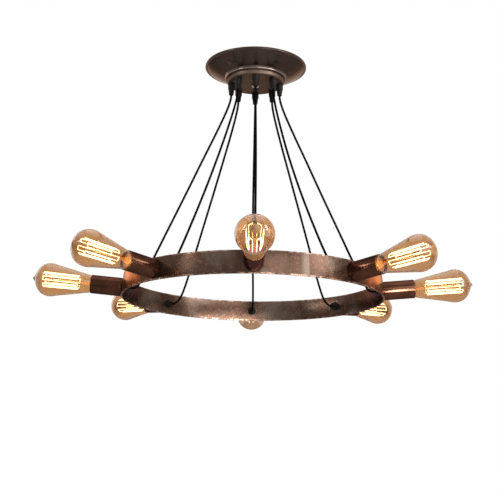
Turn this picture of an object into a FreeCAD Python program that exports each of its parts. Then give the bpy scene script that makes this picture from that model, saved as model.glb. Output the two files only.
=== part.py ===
import FreeCAD, Part
import math
import os
import Sketcher

# A wrought iron chandelier: eight tall bulbs stand out from an iron ring, and the ring
# hangs by eight cords from a round canopy. The origin is at the ceiling, on the canopy's
# axis, with +Z up. Place 1 is the nearest to -Y, and the places run on towards +X.

doc = FreeCAD.newDocument("chandelier")
sheet = doc.addObject("Spreadsheet::Sheet", "Sizes")

# Driving sizes in millimetres, and angles in degrees
SIZES = [
    ("drop", 458.0, "ceiling to the middle of the ring band"),
    ("ring_radius", 250.0, "outer radius of the band at mid height"),
    ("band_width", 42.0, "width of the flat bar"),
    ("band_plate", 3.0, "thickness of the flat bar"),
    ("band_easing", 0.6, "chamfer of the bar's long edges"),
    ("flare", 5.2, "lean of the band, and tilt of the sockets"),
    ("seam_width", 1.2, "ground weld seam of the band"),
    ("seam_depth", 0.4, "depth of the seam below the face"),
    ("seam_angle", 22.5, "seam's place round the ring"),
    ("place_count", 8, "sockets round the ring"),
    ("seat_gap", 0.1, "clearance where a piece seats"),
    ("side_gap", 0.2, "clearance round a piece in a hole"),
    ("overrun", 5.0, "how far a cut runs past its face"),
    ("canopy_radius", 102.0, "outer radius of the canopy lip"),
    ("canopy_wall", 1.2, "spun sheet of the canopy"),
    ("lip_drop", 5.0, "height of the rolled lip"),
    ("lip_round", 2.0, "rounding of the lip"),
    ("lip_ledge", 4.0, "ledge from the lip to the slope"),
    ("slope_crown", 1.4, "crown of the dish between lip and bead"),
    ("slope_foot_radius", 65.0, "radius at which the slope meets the bead"),
    ("slope_foot_drop", 21.0, "drop at which the slope meets the bead"),
    ("bead_radius", 61.5, "outer radius of the bead"),
    ("bead_section", 3.4, "radius of the bead's round"),
    ("bead_drop", 25.4, "drop of the bead's centre"),
    ("canopy_mouth", 52.0, "radius of the hole in the dish"),
    ("pan_radius", 57.0, "outer radius of the hub pan"),
    ("pan_drop", 37.0, "drop of the pan's underside"),
    ("pan_wall", 1.5, "sheet of the pan"),
    ("pan_round", 2.6, "rounding of the pan's lower edge"),
    ("bar_half_length", 58.0, "half length of the ceiling strap"),
    ("bar_width", 20.0, "width of the ceiling strap"),
    ("bar_plate", 2.0, "thickness of the ceiling strap"),
    ("bar_step", 9.0, "how far the strap's middle hangs below the ceiling"),
    ("bar_middle", 20.0, "half length of the strap's middle"),
    ("bar_leg", 8.0, "run of the strap's slanted leg"),
    ("slot_spacing", 88.0, "distance between the ceiling slots"),
    ("slot_width", 5.0, "width of a ceiling slot"),
    ("slot_length", 14.0, "length of a ceiling slot"),
    ("earth_offset", 14.0, "earth screw's place along the strap"),
    ("earth_thread", 2.0, "radius of the earth screw"),
    ("earth_head", 3.8, "radius of its head"),
    ("earth_washer", 4.6, "radius of its washer"),
    ("earth_height", 2.4, "height of its head"),
    ("earth_length", 6.0, "length of its shank under the strap"),
    ("tube_radius", 5.0, "outer radius of the threaded tubes"),
    ("tube_bore", 3.6, "bore radius of the threaded tubes"),
    ("tube_chamfer", 0.5, "chamfer on the tubes' ends"),
    ("tube_rise", 5.0, "tube above the strap's middle"),
    ("tube_tail", 5.0, "tube below the hub pan"),
    ("nut_flats", 14.0, "width across flats of the threaded tubes' nuts"),
    ("nut_height", 3.0, "height of these nuts"),
    ("cap_radius", 7.5, "radius of the domed nut's skirt"),
    ("cap_skirt", 4.0, "height of the domed nut's skirt"),
    ("cap_wall", 1.5, "metal over the end of the tube"),
    ("grip_circle", 48.5, "radius of the circle of cord grips"),
    ("collar_radius", 7.0, "radius of a grip's collar"),
    ("collar_height", 12.0, "height of a grip's collar"),
    ("collar_round", 1.2, "rounding of a grip's collar"),
    ("sleeve_root", 6.0, "radius of a grip's sleeve at the collar"),
    ("sleeve_end", 4.8, "radius of a grip's sleeve at its mouth"),
    ("grip_length", 24.0, "grip below the pan"),
    ("grip_stud", 4.0, "radius of a grip's thread"),
    ("grip_thread", 6.0, "grip's thread above the pan"),
    ("grip_nut_flats", 11.0, "width across flats of a grip's nut"),
    ("grip_nut_height", 3.0, "height of a grip's nut"),
    ("cord_radius", 2.2, "radius of a cord"),
    ("cord_entry", 3.5, "how deep a cord starts inside its grip or bush"),
    ("cord_lead_out", 3.5, "straight start of a cord outside the mouth"),
    ("lead_radius", 1.6, "radius of a lead in the canopy"),
    ("lead_bend", 6.5, "bend radius of a lead in the canopy"),
    ("lead_rise", 1.5, "straight start of a lead above its grip"),
    ("rosette_flats", 32.0, "width across flats of the terminal block"),
    ("rosette_height", 18.5, "height of the terminal block"),
    ("rosette_bore", 6.0, "bore radius of the terminal block"),
    ("clamp_circle", 11.5, "radius of the circle of clamp screws"),
    ("clamp_radius", 1.7, "radius of a clamp screw's head"),
    ("clamp_proud", 0.8, "height of a clamp screw over the block"),
    ("clamp_depth", 5.0, "depth of a clamp screw in the block"),
    ("bush_radius", 7.0, "radius of a ring bush's collar"),
    ("bush_collar", 8.0, "height of a ring bush's collar"),
    ("bush_neck", 5.0, "radius of a ring bush's neck"),
    ("bush_length", 12.0, "length of a ring bush"),
    ("bush_round", 1.2, "rounding of a ring bush's collar"),
    ("flange_radius", 8.6, "radius of a ring bush's flange"),
    ("flange_height", 1.6, "thickness of a ring bush's flange"),
    ("thread_depth", 7.0, "depth of the tube in its bush"),
    ("cup_radius", 18.0, "outer radius of a socket cup"),
    ("cup_length", 61.0, "length of a socket cup"),
    ("cup_wall", 1.2, "wall of a socket cup"),
    ("cup_floor", 1.6, "floor of a socket cup"),
    ("cup_corner", 1.4, "corner at the cup's floor"),
    ("cup_lip", 0.4, "chamfer on the cup's lip"),
    ("holder_radius", 16.4, "radius of a lamp holder"),
    ("holder_recess", 7.0, "holder's rim below the cup's mouth"),
    ("holder_floor", 6.0, "floor under the screw shell"),
    ("holder_back", 5.0, "back wall of the holder"),
    ("chamber_radius", 11.5, "radius of the terminal chamber"),
    ("holder_bore", 14.4, "radius of the holder's mouth"),
    ("shell_radius", 14.2, "outer radius of the screw shell"),
    ("shell_plate", 0.5, "sheet of the screw shell"),
    ("contact_radius", 4.5, "radius of the contact tongue"),
    ("contact_height", 2.4, "height of the contact tongue"),
    ("bulb_insert", 28.6, "bulb's length inside the cup"),
    ("base_contact", 4.7, "radius of the bulb's centre contact"),
    ("base_contact_height", 1.4, "height of the bulb's centre contact"),
    ("base_insulator", 11.2, "radius of the bulb's insulator"),
    ("base_insulator_height", 2.6, "height of the bulb's insulator"),
    ("base_radius", 13.2, "radius of the bulb's screw cap"),
    ("base_length", 25.0, "length of the bulb's screw cap with its contact"),
    ("base_wall", 0.8, "sheet of the bulb's screw cap"),
    ("glass_wall", 0.8, "wall of the glass"),
    ("neck_radius", 15.4, "radius of the glass at the cup's mouth"),
    ("throat_reach", 4.0, "glass throat's reach past the mouth"),
    ("throat_radius", 17.3, "radius of the glass throat"),
    ("belly_reach", 79.0, "centre of the round belly past the mouth"),
    ("belly_radius", 32.0, "radius of the round belly"),
    ("belly_start", 11.0, "end of the straight cone short of the belly's centre"),
    ("crown_radius", 20.0, "radius at which the belly ends"),
    ("pip_rise", 5.8, "from the belly's end to the root of the pip"),
    ("pip_radius", 3.6, "radius of the round pip"),
    ("stem_rod", 2.6, "radius of the glass stem's rod"),
    ("stem_flare", 8.0, "height of the stem's flare"),
    ("stem_reach", 62.0, "end of the stem past the mouth"),
    ("stem_button", 3.6, "radius of the button on the stem's end"),
    ("hoop_foot_reach", 25.0, "lower turns of the filament past the mouth"),
    ("hoop_head_reach", 92.0, "upper turns of the filament past the mouth"),
    ("hoop_foot_radius", 13.0, "radius of the filament's lower turns"),
    ("hoop_head_radius", 14.0, "radius of the filament's upper turns"),
    ("hook_rise", 3.0, "how far the lower hooks spread along the stem"),
    ("strand_count", 12, "long strands of the filament"),
    ("strand_side", 0.8, "side of the filament's strand"),
    ("spoke_side", 0.7, "side of a support wire"),
]

# Each cord's route between its grip's mouth and its bush's mouth, as shares of the reach
# outwards and of the way down. The route runs almost straight under the ring's weight,
# and turns outwards in one soft bend above the band.
CORD_ROUTE_SHARES = [
    (0.012, 0.039),
    (0.047, 0.097),
    (0.140, 0.216),
    (0.255, 0.351),
    (0.373, 0.484),
    (0.492, 0.613),
    (0.610, 0.738),
    (0.720, 0.855),
    (0.796, 0.927),
    (0.843, 0.963),
    (0.8745, 0.9805),
    (0.907, 0.9915),
    (0.943, 0.998),
]

# How strongly each point of the route follows a cord's own belly and knee
BELLY_SHARES = [0.0, 0.15, 0.5, 0.85, 1.0, 1.0, 0.75, 0.35, 0.1, 0.0, 0.0, 0.0, 0.0]
KNEE_SHARES = [0.0, 0.0, 0.0, 0.0, 0.0, 0.1, 0.4, 0.8, 1.0, 1.0, 0.8, 0.5, 0.2]

# Belly and knee of the eight cords: how far each hangs outwards of the common route
CORD_SLACK = [
    (0.0, 1.0),
    (-9.0, -3.0),
    (9.0, 1.2),
    (5.0, 1.2),
    (0.0, 0.0),
    (3.0, 0.5),
    (9.0, 1.2),
    (-2.0, 1.0),
]

# Domed nut: its flat crown, and the shoulder's place across and along the dome
CROWN_SHARES = (0.3, 0.76, 0.66)

# Heights of the belly's corners, as shares of its run along the bulb
BELLY_STEPS = (0.151, 0.306, 0.503, 0.690, 0.860)

# A run's share that its corner's arc takes up, on a cord
ARC_SHARE = 0.45

FULL_TURN = 360.0
RIGHT_ANGLE = 90.0
HALF_TURN = 180.0


class Length:
    """A size that carries its number and the formula that the document keeps."""

    def __init__(self, number, formula):
        self.number = float(number)
        self.formula = formula

    def __add__(self, other):
        other = as_length(other)
        return Length(self.number + other.number, f"({self.formula} + {other.formula})")

    def __sub__(self, other):
        other = as_length(other)
        return Length(self.number - other.number, f"({self.formula} - {other.formula})")

    def __mul__(self, other):
        other = as_length(other)
        return Length(self.number * other.number, f"({self.formula} * {other.formula})")

    def __truediv__(self, other):
        other = as_length(other)
        return Length(self.number / other.number, f"({self.formula} / {other.formula})")

    def __neg__(self):
        return Length(-self.number, f"(0 - {self.formula})")

    def __float__(self):
        return self.number


def as_length(value):
    """Take a plain number or a Length as a Length."""
    if isinstance(value, Length):
        return value
    return Length(value, repr(float(value)))


def cosine(angle):
    """Cosine of an angle that the sheet holds in degrees."""
    return Length(math.cos(math.radians(float(angle))), f"cos({angle.formula} * 1 deg)")


def sine(angle):
    """Sine of an angle that the sheet holds in degrees."""
    return Length(math.sin(math.radians(float(angle))), f"sin({angle.formula} * 1 deg)")


def hypotenuse(first, second):
    """Long side of a right triangle."""
    number = math.hypot(float(first), float(second))
    return Length(number, f"sqrt({first.formula} ^ 2 + {second.formula} ^ 2)")


def other_leg(longest, leg):
    """Second short side of a right triangle."""
    number = math.sqrt(float(longest) ** 2 - float(leg) ** 2)
    return Length(number, f"sqrt({longest.formula} ^ 2 - {leg.formula} ^ 2)")


class Sizes:
    """The sheet's cells as Lengths, each under its alias."""

    def __init__(self, rows):
        for row, (alias, number, note) in enumerate(rows, start=1):
            sheet.set(f"A{row}", alias)
            sheet.set(f"B{row}", str(number))
            sheet.set(f"C{row}", note)
            sheet.setAlias(f"B{row}", alias)
            setattr(self, alias, Length(number, f"Sizes.{alias}"))


size = Sizes(SIZES)
doc.recompute()
zero = Length(0.0, "0")

kept = []
PLACES = int(size.place_count.number)


def keep(piece):
    """Note an object as a sub-part that is written out."""
    kept.append(piece)
    return piece


def origin_plane(body, role):
    """Return the plane of a body's origin that has this role."""
    return next(item for item in body.Origin.OriginFeatures if item.Role == role)


def tie(sketch, item, point, across, along):
    """Hold one point of a sketch at a distance across and along from its origin."""
    for kind, size_here, axis in (("DistanceX", across, -2), ("DistanceY", along, -1)):
        if size_here.formula == zero.formula:
            sketch.addConstraint(Sketcher.Constraint("PointOnObject", item, point, axis))
            continue
        if size_here.number < 0:
            ends = (item, point, -1, 1)
            size_here = -size_here
        else:
            ends = (-1, 1, item, point)
        number = sketch.addConstraint(Sketcher.Constraint(kind, *ends, size_here.number))
        sketch.setExpression(f"Constraints[{number}]", size_here.formula)


def flat_point(across, along):
    """A point of a sketch as a vector."""
    return FreeCAD.Vector(float(across), float(along), 0)


def arc_between(start, middle, end):
    """Circle arc through three points, and which of its ends comes first."""
    ax, ay, bx, by, cx, cy = (float(value) for value in (*start, *middle, *end))
    bend = 2 * (ax * (by - cy) + bx * (cy - ay) + cx * (ay - by))
    a2, b2, c2 = ax * ax + ay * ay, bx * bx + by * by, cx * cx + cy * cy
    x = (a2 * (by - cy) + b2 * (cy - ay) + c2 * (ay - by)) / bend
    y = (a2 * (cx - bx) + b2 * (ax - cx) + c2 * (bx - ax)) / bend
    circle = Part.Circle(FreeCAD.Vector(x, y, 0), FreeCAD.Vector(0, 0, 1), math.hypot(ax - x, ay - y))
    begin = math.atan2(ay - y, ax - x)
    finish = math.atan2(cy - y, cx - x)
    if bend > 0:
        return Part.ArcOfCircle(circle, begin, finish), (1, 2)
    return Part.ArcOfCircle(circle, finish, begin), (2, 1)


def draw(sketch, start, steps, closing=()):
    """Draw a closed outline of lines and arcs, with each point tied to the sizes.

    A step (x, y) is a line to that point, and (x, y, mid_x, mid_y) an arc through a middle.
    The last edge goes back to the start, through the closing middle if there is one.
    """
    here = start
    items = []
    for step in steps + [start + closing]:
        end = step[:2]
        if len(step) == 4:
            arc, (first, last) = arc_between(here, step[2:], end)
            item = sketch.addGeometry(arc, False)
            middle = sketch.addGeometry(Part.Point(flat_point(*step[2:])), True)
            tie(sketch, middle, 1, step[2], step[3])
            sketch.addConstraint(Sketcher.Constraint("PointOnObject", middle, 1, item))
        else:
            item = sketch.addGeometry(Part.LineSegment(flat_point(*here), flat_point(*end)), False)
            first, last = 1, 2
        items.append((item, first, last))
        tie(sketch, item, first, here[0], here[1])
        here = end
    for (item, _, last), (following, begin, _) in zip(items, items[1:] + items[:1]):
        sketch.addConstraint(Sketcher.Constraint("Coincident", item, last, following, begin))


def new_body(label, place=None):
    """Start a body with its label and its place."""
    body = doc.addObject("PartDesign::Body", label)
    body.Label = label
    if place is not None:
        body.Placement = place
    return body


def new_sketch(body, role, name):
    """Start a sketch on a plane of a body's origin."""
    sketch = body.newObject("Sketcher::SketchObject", name)
    sketch.AttachmentSupport = [(origin_plane(body, role), "")]
    sketch.MapMode = "FlatFace"
    return sketch


def turned(label, place, start, steps):
    """Make a body of revolution about its own Z from an outline of (radius, height)."""
    body = new_body(label, place)
    sketch = new_sketch(body, "XZ_Plane", "outline")
    draw(sketch, start, steps)
    revolution = body.newObject("PartDesign::Revolution", "turned")
    revolution.Profile = sketch
    revolution.ReferenceAxis = (sketch, ["V_Axis"])
    revolution.Angle = FULL_TURN
    body.Tip = revolution
    return body


def round_hole(sketch, across, along, radius):
    """Draw a circle for a hole."""
    circle = Part.Circle(flat_point(across, along), FreeCAD.Vector(0, 0, 1), float(radius))
    item = sketch.addGeometry(circle)
    tie(sketch, item, 3, across, along)
    number = sketch.addConstraint(Sketcher.Constraint("Radius", item, float(radius)))
    sketch.setExpression(f"Constraints[{number}]", radius.formula)


def hexagon(sketch, flats, sides=6):
    """Draw a regular outline about the origin from its width across flats."""
    half_angle = math.pi / sides
    corner = (flats / 2) / Length(math.cos(half_angle), repr(math.cos(half_angle)))
    corners = []
    for step in range(sides):
        turn = half_angle * (2 * step + 1)
        corners.append((corner * math.cos(turn), corner * math.sin(turn)))
    draw(sketch, corners[0], corners[1:])


def nut(label, place, flats, height, bore, sides=6):
    """Make a nut that stands on its own XY plane."""
    body = new_body(label, place)
    sketch = new_sketch(body, "XY_Plane", "outline")
    hexagon(sketch, flats, sides)
    round_hole(sketch, zero, zero, bore)
    pad = body.newObject("PartDesign::Pad", "pad")
    pad.Profile = sketch
    pad.Length = height.number
    pad.setExpression("Length", height.formula)
    body.Tip = pad
    return body


def group(label, pieces):
    """Join identical pieces as separate solids of one sub-part."""
    compound = doc.addObject("Part::Compound", label)
    compound.Label = label
    compound.Links = pieces
    return keep(compound)


def azimuth(place):
    """Angle of a place round the ring, from -Y towards +X, in degrees."""
    return FULL_TURN * place / PLACES


def hanging(place, radius):
    """Place at the ceiling, over the circle of this radius, with +Z of the piece down."""
    angle = math.radians(azimuth(place))
    spot = FreeCAD.Vector(float(radius) * math.sin(angle), -float(radius) * math.cos(angle), 0)
    spin = FreeCAD.Rotation(FreeCAD.Vector(0, 0, 1), azimuth(place))
    flip = FreeCAD.Rotation(FreeCAD.Vector(1, 0, 0), HALF_TURN)
    return FreeCAD.Placement(spot, spin.multiply(flip))


def outward(place):
    """Place on the band's outer face at mid height, with +Z along the socket's axis."""
    angle = math.radians(azimuth(place))
    radius = float(size.ring_radius)
    spot = FreeCAD.Vector(radius * math.sin(angle), -radius * math.cos(angle), -float(size.drop))
    spin = FreeCAD.Rotation(FreeCAD.Vector(0, 0, 1), azimuth(place) - RIGHT_ANGLE)
    lean = FreeCAD.Rotation(FreeCAD.Vector(0, 1, 0), RIGHT_ANGLE - float(size.flare))
    return FreeCAD.Placement(spot, spin.multiply(lean))


down = hanging(0, zero)


# Ceiling strap: a flat bar with its middle stepped down, two slots and a centre hole
def make_ceiling_bracket():
    body = new_body("ceiling_bracket")
    sketch = new_sketch(body, "XZ_Plane", "side")
    top = -size.seat_gap
    foot = size.bar_middle + size.bar_leg
    low = top - size.bar_step
    plate = size.bar_plate
    slant = hypotenuse(size.bar_leg, size.bar_step)
    shift = plate * ((slant - size.bar_leg) / size.bar_step)
    start = (-size.bar_half_length, top)
    steps = [
        (-foot, top),
        (-size.bar_middle, low),
        (size.bar_middle, low),
        (foot, top),
        (size.bar_half_length, top),
        (size.bar_half_length, top - plate),
        (foot + shift, top - plate),
        (size.bar_middle + shift, low - plate),
        (-size.bar_middle - shift, low - plate),
        (-foot - shift, top - plate),
        (-size.bar_half_length, top - plate),
    ]
    draw(sketch, start, steps)
    pad = body.newObject("PartDesign::Pad", "strap")
    pad.Profile = sketch
    pad.Length = size.bar_width.number
    pad.setExpression("Length", size.bar_width.formula)
    pad.Midplane = True
    doc.recompute()
    holes = new_sketch(body, "XY_Plane", "holes")
    round_hole(holes, zero, zero, size.tube_radius + size.side_gap)
    round_hole(holes, size.earth_offset, zero, size.earth_thread + size.side_gap)
    half = size.slot_width / 2
    straight = (size.slot_length - size.slot_width) / 2
    for side in (-1, 1):
        centre = (size.slot_spacing / 2) * side
        near = centre - straight
        far = centre + straight
        slot = [(far, half), (far, -half, far + half, zero), (near, -half)]
        draw(holes, (near, half), slot, closing=(near - half, zero))
    pocket = body.newObject("PartDesign::Pocket", "drilled")
    pocket.Profile = holes
    pocket.Type = 1
    pocket.Midplane = True
    body.Tip = pocket
    return keep(body)


# Earth screw: a pan head and a washer on the strap, with its shank below
def make_earth_screw():
    low = size.seat_gap + size.bar_step
    place = FreeCAD.Placement(FreeCAD.Vector(float(size.earth_offset), 0, 0), down.Rotation)
    washer = size.bar_plate / 4
    rise = low - washer - size.seat_gap
    head = rise - size.earth_height
    return keep(turned("earth_screw", place, (zero, head), [
        (size.earth_head - size.tube_chamfer, head),
        (size.earth_head, head + size.tube_chamfer),
        (size.earth_head, rise),
        (size.earth_washer, rise),
        (size.earth_washer, low - size.seat_gap),
        (size.earth_thread, low - size.seat_gap),
        (size.earth_thread, low + size.earth_length),
        (zero, low + size.earth_length),
    ]))


def threaded_tube(label, place, start, end):
    """Hollow threaded tube between two heights of its axis."""
    edge = size.tube_radius - size.tube_chamfer
    return turned(label, place, (size.tube_bore, start), [
        (edge, start),
        (size.tube_radius, start + size.tube_chamfer),
        (size.tube_radius, end - size.tube_chamfer),
        (edge, end),
        (size.tube_bore, end),
    ])


# Centre tube and its nuts: they clamp the strap, and the domed nut carries the pan
def make_centre_nipple():
    strap_top = size.seat_gap + size.bar_step
    return keep(threaded_tube("centre_nipple", down, strap_top - size.tube_rise,
                              size.pan_drop + size.tube_tail))


def make_bracket_nuts():
    strap_top = size.seat_gap + size.bar_step
    bore = size.tube_radius + size.seat_gap
    pieces = []
    for name, level in (("upper", strap_top - size.seat_gap - size.nut_height),
                        ("lower", strap_top + size.bar_plate + size.seat_gap)):
        place = FreeCAD.Placement(FreeCAD.Vector(0, 0, -float(level)), down.Rotation)
        pieces.append(nut(f"bracket_nut_{name}", place, size.nut_flats, size.nut_height, bore))
    group("bracket_nuts", pieces)


def make_hub_cap_nut():
    seat = size.pan_drop + size.seat_gap
    bore = size.tube_radius + size.seat_gap
    bottom = size.pan_drop + size.tube_tail + size.seat_gap
    skirt = seat + size.cap_skirt
    tip = bottom + size.cap_wall
    crown = size.cap_radius * CROWN_SHARES[0]
    shoulder = (size.cap_radius * CROWN_SHARES[1], skirt + (tip - skirt) * CROWN_SHARES[2])
    return keep(turned("hub_cap_nut", down, (bore, seat), [
        (size.cap_radius, seat),
        (size.cap_radius, skirt),
        (crown, tip, *shoulder),
        (zero, tip),
        (zero, bottom),
        (bore, bottom),
    ]))


# Canopy dish: spun sheet with a rolled lip, a crowned slope and a bead round its mouth
def make_canopy_dish():
    lip = size.canopy_radius
    wall = size.canopy_wall
    turn_in = size.lip_round
    ledge = lip - size.lip_ledge
    half = math.sqrt(0.5)
    foot = (size.slope_foot_radius, size.slope_foot_drop)
    crown = ((ledge + foot[0]) / 2 + size.slope_crown * half,
             (size.lip_drop + foot[1]) / 2 + size.slope_crown)
    bead_centre = size.bead_radius - size.bead_section
    bead_low = size.bead_drop + size.bead_section
    bead_root = (bead_centre + size.bead_section * half, size.bead_drop - size.bead_section * half)
    mouth = size.canopy_mouth
    floor = bead_low - wall
    steps = [
        (lip, size.lip_drop - turn_in),
        (lip - turn_in, size.lip_drop, lip - turn_in + turn_in * half,
         size.lip_drop - turn_in + turn_in * half),
        (ledge, size.lip_drop),
        (*foot, *crown),
        bead_root,
        (bead_centre, bead_low, size.bead_radius, size.bead_drop),
        (mouth, bead_low),
        (mouth, floor),
        (bead_centre - wall, floor),
        (bead_centre - wall, bead_root[1] - wall),
        (foot[0], foot[1] - wall),
        (crown[0], crown[1] - wall),
        (ledge, size.lip_drop - wall),
        (lip - wall, size.lip_drop - turn_in),
        (lip - wall, zero),
    ]
    return keep(turned("canopy_dish", down, (lip, zero), steps))


# Hub pan: a shallow pan under the dish, with a hole for each cord grip
def make_hub_pan():
    radius = size.pan_radius
    wall = size.pan_wall
    rim = size.bead_drop + size.bead_section + size.seat_gap
    low = size.pan_drop
    round_in = size.pan_round
    half = math.sqrt(0.5)
    bore = size.tube_radius + size.side_gap
    body = turned("hub_pan", down, (radius, rim), [
        (radius, low - round_in),
        (radius - round_in, low, radius - round_in + round_in * half, low - round_in + round_in * half),
        (bore, low),
        (bore, low - wall),
        (radius - round_in, low - wall),
        (radius - wall, low - round_in),
        (radius - wall, rim),
    ])
    doc.recompute()
    holes = new_sketch(body, "XY_Plane", "grip_hole")
    round_hole(holes, zero, size.grip_circle, size.grip_stud + size.side_gap)
    pocket = body.newObject("PartDesign::Pocket", "drilled")
    pocket.Profile = holes
    pocket.Type = 1
    pocket.Midplane = True
    pattern = body.newObject("PartDesign::PolarPattern", "round_the_pan")
    pattern.Originals = [pocket]
    pattern.Axis = (holes, ["N_Axis"])
    pattern.Angle = FULL_TURN
    pattern.Occurrences = PLACES
    body.Tip = pattern
    return keep(body)


# Cord grips: threaded spigot, collar and tapered sleeve, with a nut above the pan
def make_cord_grips():
    under = size.pan_drop + size.seat_gap
    above = size.pan_drop - size.pan_wall - size.grip_thread
    collar = under + size.collar_height
    mouth = size.pan_drop + size.grip_length
    bore = size.cord_radius + size.side_gap
    lead = size.lead_radius + size.side_gap
    neck = mouth - size.cord_entry * 2
    soft = size.collar_round
    grips = []
    nuts = []
    for place in range(PLACES):
        where = hanging(place, size.grip_circle)
        grips.append(turned(f"cord_grip_{place + 1}", where, (lead, above), [
            (size.grip_stud, above),
            (size.grip_stud, under),
            (size.collar_radius, under),
            (size.collar_radius, collar - soft),
            (size.collar_radius - soft, collar),
            (size.sleeve_root - size.seat_gap, collar),
            (size.sleeve_end, mouth),
            (bore, mouth),
            (bore, neck),
            (lead, neck),
        ]))
        level = size.pan_drop - size.pan_wall - size.seat_gap - size.grip_nut_height
        spot = FreeCAD.Vector(where.Base.x, where.Base.y, -float(level))
        flat_out = where.Rotation.multiply(FreeCAD.Rotation(FreeCAD.Vector(0, 0, 1), HALF_TURN / 6))
        nuts.append(nut(f"grip_nut_{place + 1}", FreeCAD.Placement(spot, flat_out),
                        size.grip_nut_flats, size.grip_nut_height, size.grip_stud + size.seat_gap))
    group("cord_grips", grips)
    group("grip_nuts", nuts)


# Terminal block on the pan's floor, round the centre tube, with its clamp screws
def make_terminal_rosette():
    floor = size.pan_drop - size.pan_wall - size.seat_gap
    place = FreeCAD.Placement(FreeCAD.Vector(0, 0, -float(floor)), FreeCAD.Rotation())
    block = keep(nut("terminal_rosette", place, size.rosette_flats, size.rosette_height,
                     size.rosette_bore, PLACES))
    top = floor - size.rosette_height
    screws = []
    for step in range(PLACES):
        where = hanging(step, size.clamp_circle)
        screws.append(turned(f"clamp_screw_{step + 1}", where, (zero, top - size.clamp_proud), [
            (size.clamp_radius, top - size.clamp_proud),
            (size.clamp_radius, top + size.clamp_depth),
            (zero, top + size.clamp_depth),
        ]))
    holes = new_sketch(block, "XY_Plane", "clamp_holes")
    round_hole(holes, zero, size.clamp_circle, size.clamp_radius + size.seat_gap)
    holes.AttachmentOffset = FreeCAD.Placement(FreeCAD.Vector(0, 0, float(size.rosette_height)),
                                               FreeCAD.Rotation())
    pocket = block.newObject("PartDesign::Pocket", "screw_holes")
    pocket.Profile = holes
    depth = size.clamp_depth + size.seat_gap
    pocket.Length = depth.number
    pocket.setExpression("Length", depth.formula)
    pattern = block.newObject("PartDesign::PolarPattern", "round_the_block")
    pattern.Originals = [pocket]
    pattern.Axis = (holes, ["N_Axis"])
    pattern.Angle = FULL_TURN
    pattern.Occurrences = PLACES
    block.Tip = pattern
    group("terminal_screws", screws)


def tube_along(label, points, radius, arc_share=None, arc_radius=None):
    """Tube of this radius along straight runs joined by tangent arcs, and its radii."""
    edges = []
    radii = []
    last = points[0]
    for before, corner, after in zip(points, points[1:], points[2:]):
        back = before - corner
        ahead = after - corner
        half_turn = (math.pi - back.getAngle(ahead)) / 2
        if arc_radius is None:
            reach = arc_share * min(back.Length, ahead.Length)
            radii.append(reach / math.tan(half_turn))
        else:
            reach = arc_radius * math.tan(half_turn)
            radii.append(arc_radius)
        back.normalize()
        ahead.normalize()
        start = corner + back * reach
        end = corner + ahead * reach
        rise = reach / math.tan(half_turn) / math.cos(half_turn)
        inward = (back + ahead).normalize()
        middle = corner + inward * (rise - radii[-1])
        edges.append(Part.LineSegment(last, start).toShape())
        edges.append(Part.Arc(start, middle, end).toShape())
        last = end
    edges.append(Part.LineSegment(last, points[-1]).toShape())
    path = Part.Wire(edges)
    along = points[1] - points[0]
    section = Part.Wire(Part.makeCircle(radius, points[0], along))
    tube = path.makePipe(Part.Face(section))
    solid = doc.addObject("Part::Feature", label)
    solid.Label = label
    solid.Shape = tube
    return solid, radii, path.Length


# Ring band: a flat bar rolled to a flared hoop, drilled for the sockets, with a ground seam
def make_ring_band():
    place = FreeCAD.Placement(FreeCAD.Vector(0, 0, -float(size.drop)), FreeCAD.Rotation())
    half = size.band_width / 2
    lean, rise = sine(size.flare), cosine(size.flare)
    easing = size.band_easing

    def bar(depth, height):
        """Point of the bar's section, at a depth in the plate and a height along its width."""
        return (size.ring_radius - height * lean - depth * rise, height * rise - depth * lean)

    plate = size.band_plate
    body = turned("ring_band", place, bar(zero, half - easing), [
        bar(easing, half),
        bar(plate - easing, half),
        bar(plate, half - easing),
        bar(plate, easing - half),
        bar(plate - easing, -half),
        bar(easing, -half),
        bar(zero, easing - half),
    ])
    doc.recompute()
    lean_back = FreeCAD.Rotation(FreeCAD.Vector(1, 0, 0), -float(size.flare))
    seam = new_sketch(body, "XZ_Plane", "seam")
    wide = size.seam_width / 2
    draw(seam, (wide, size.band_width), [
        (wide, -size.band_width),
        (-wide, -size.band_width),
        (-wide, size.band_width),
    ])
    swing = FreeCAD.Rotation(FreeCAD.Vector(0, 1, 0), float(size.seam_angle)).multiply(lean_back)
    skin = FreeCAD.Vector(0, 0, float(size.ring_radius * rise - size.seam_depth))
    seam.AttachmentOffset = FreeCAD.Placement(swing.multVec(skin), swing)
    groove = body.newObject("PartDesign::Pocket", "seam_ground")
    groove.Profile = seam
    groove.Reversed = True
    groove.Length = size.overrun.number
    groove.setExpression("Length", size.overrun.formula)
    doc.recompute()
    holes = new_sketch(body, "XZ_Plane", "socket_hole")
    round_hole(holes, zero, -(size.ring_radius * lean), size.tube_radius + size.side_gap)
    holes.AttachmentOffset = FreeCAD.Placement(FreeCAD.Vector(), lean_back)
    drilled = body.newObject("PartDesign::Pocket", "drilled")
    drilled.Profile = holes
    drilled.Reversed = True
    drilled.Type = 1
    pattern = body.newObject("PartDesign::PolarPattern", "round_the_ring")
    pattern.Originals = [drilled]
    pattern.Axis = (origin_plane(body, "Z_Axis"), [""])
    pattern.Angle = FULL_TURN
    pattern.Occurrences = PLACES
    body.Tip = pattern
    return keep(body)


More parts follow.
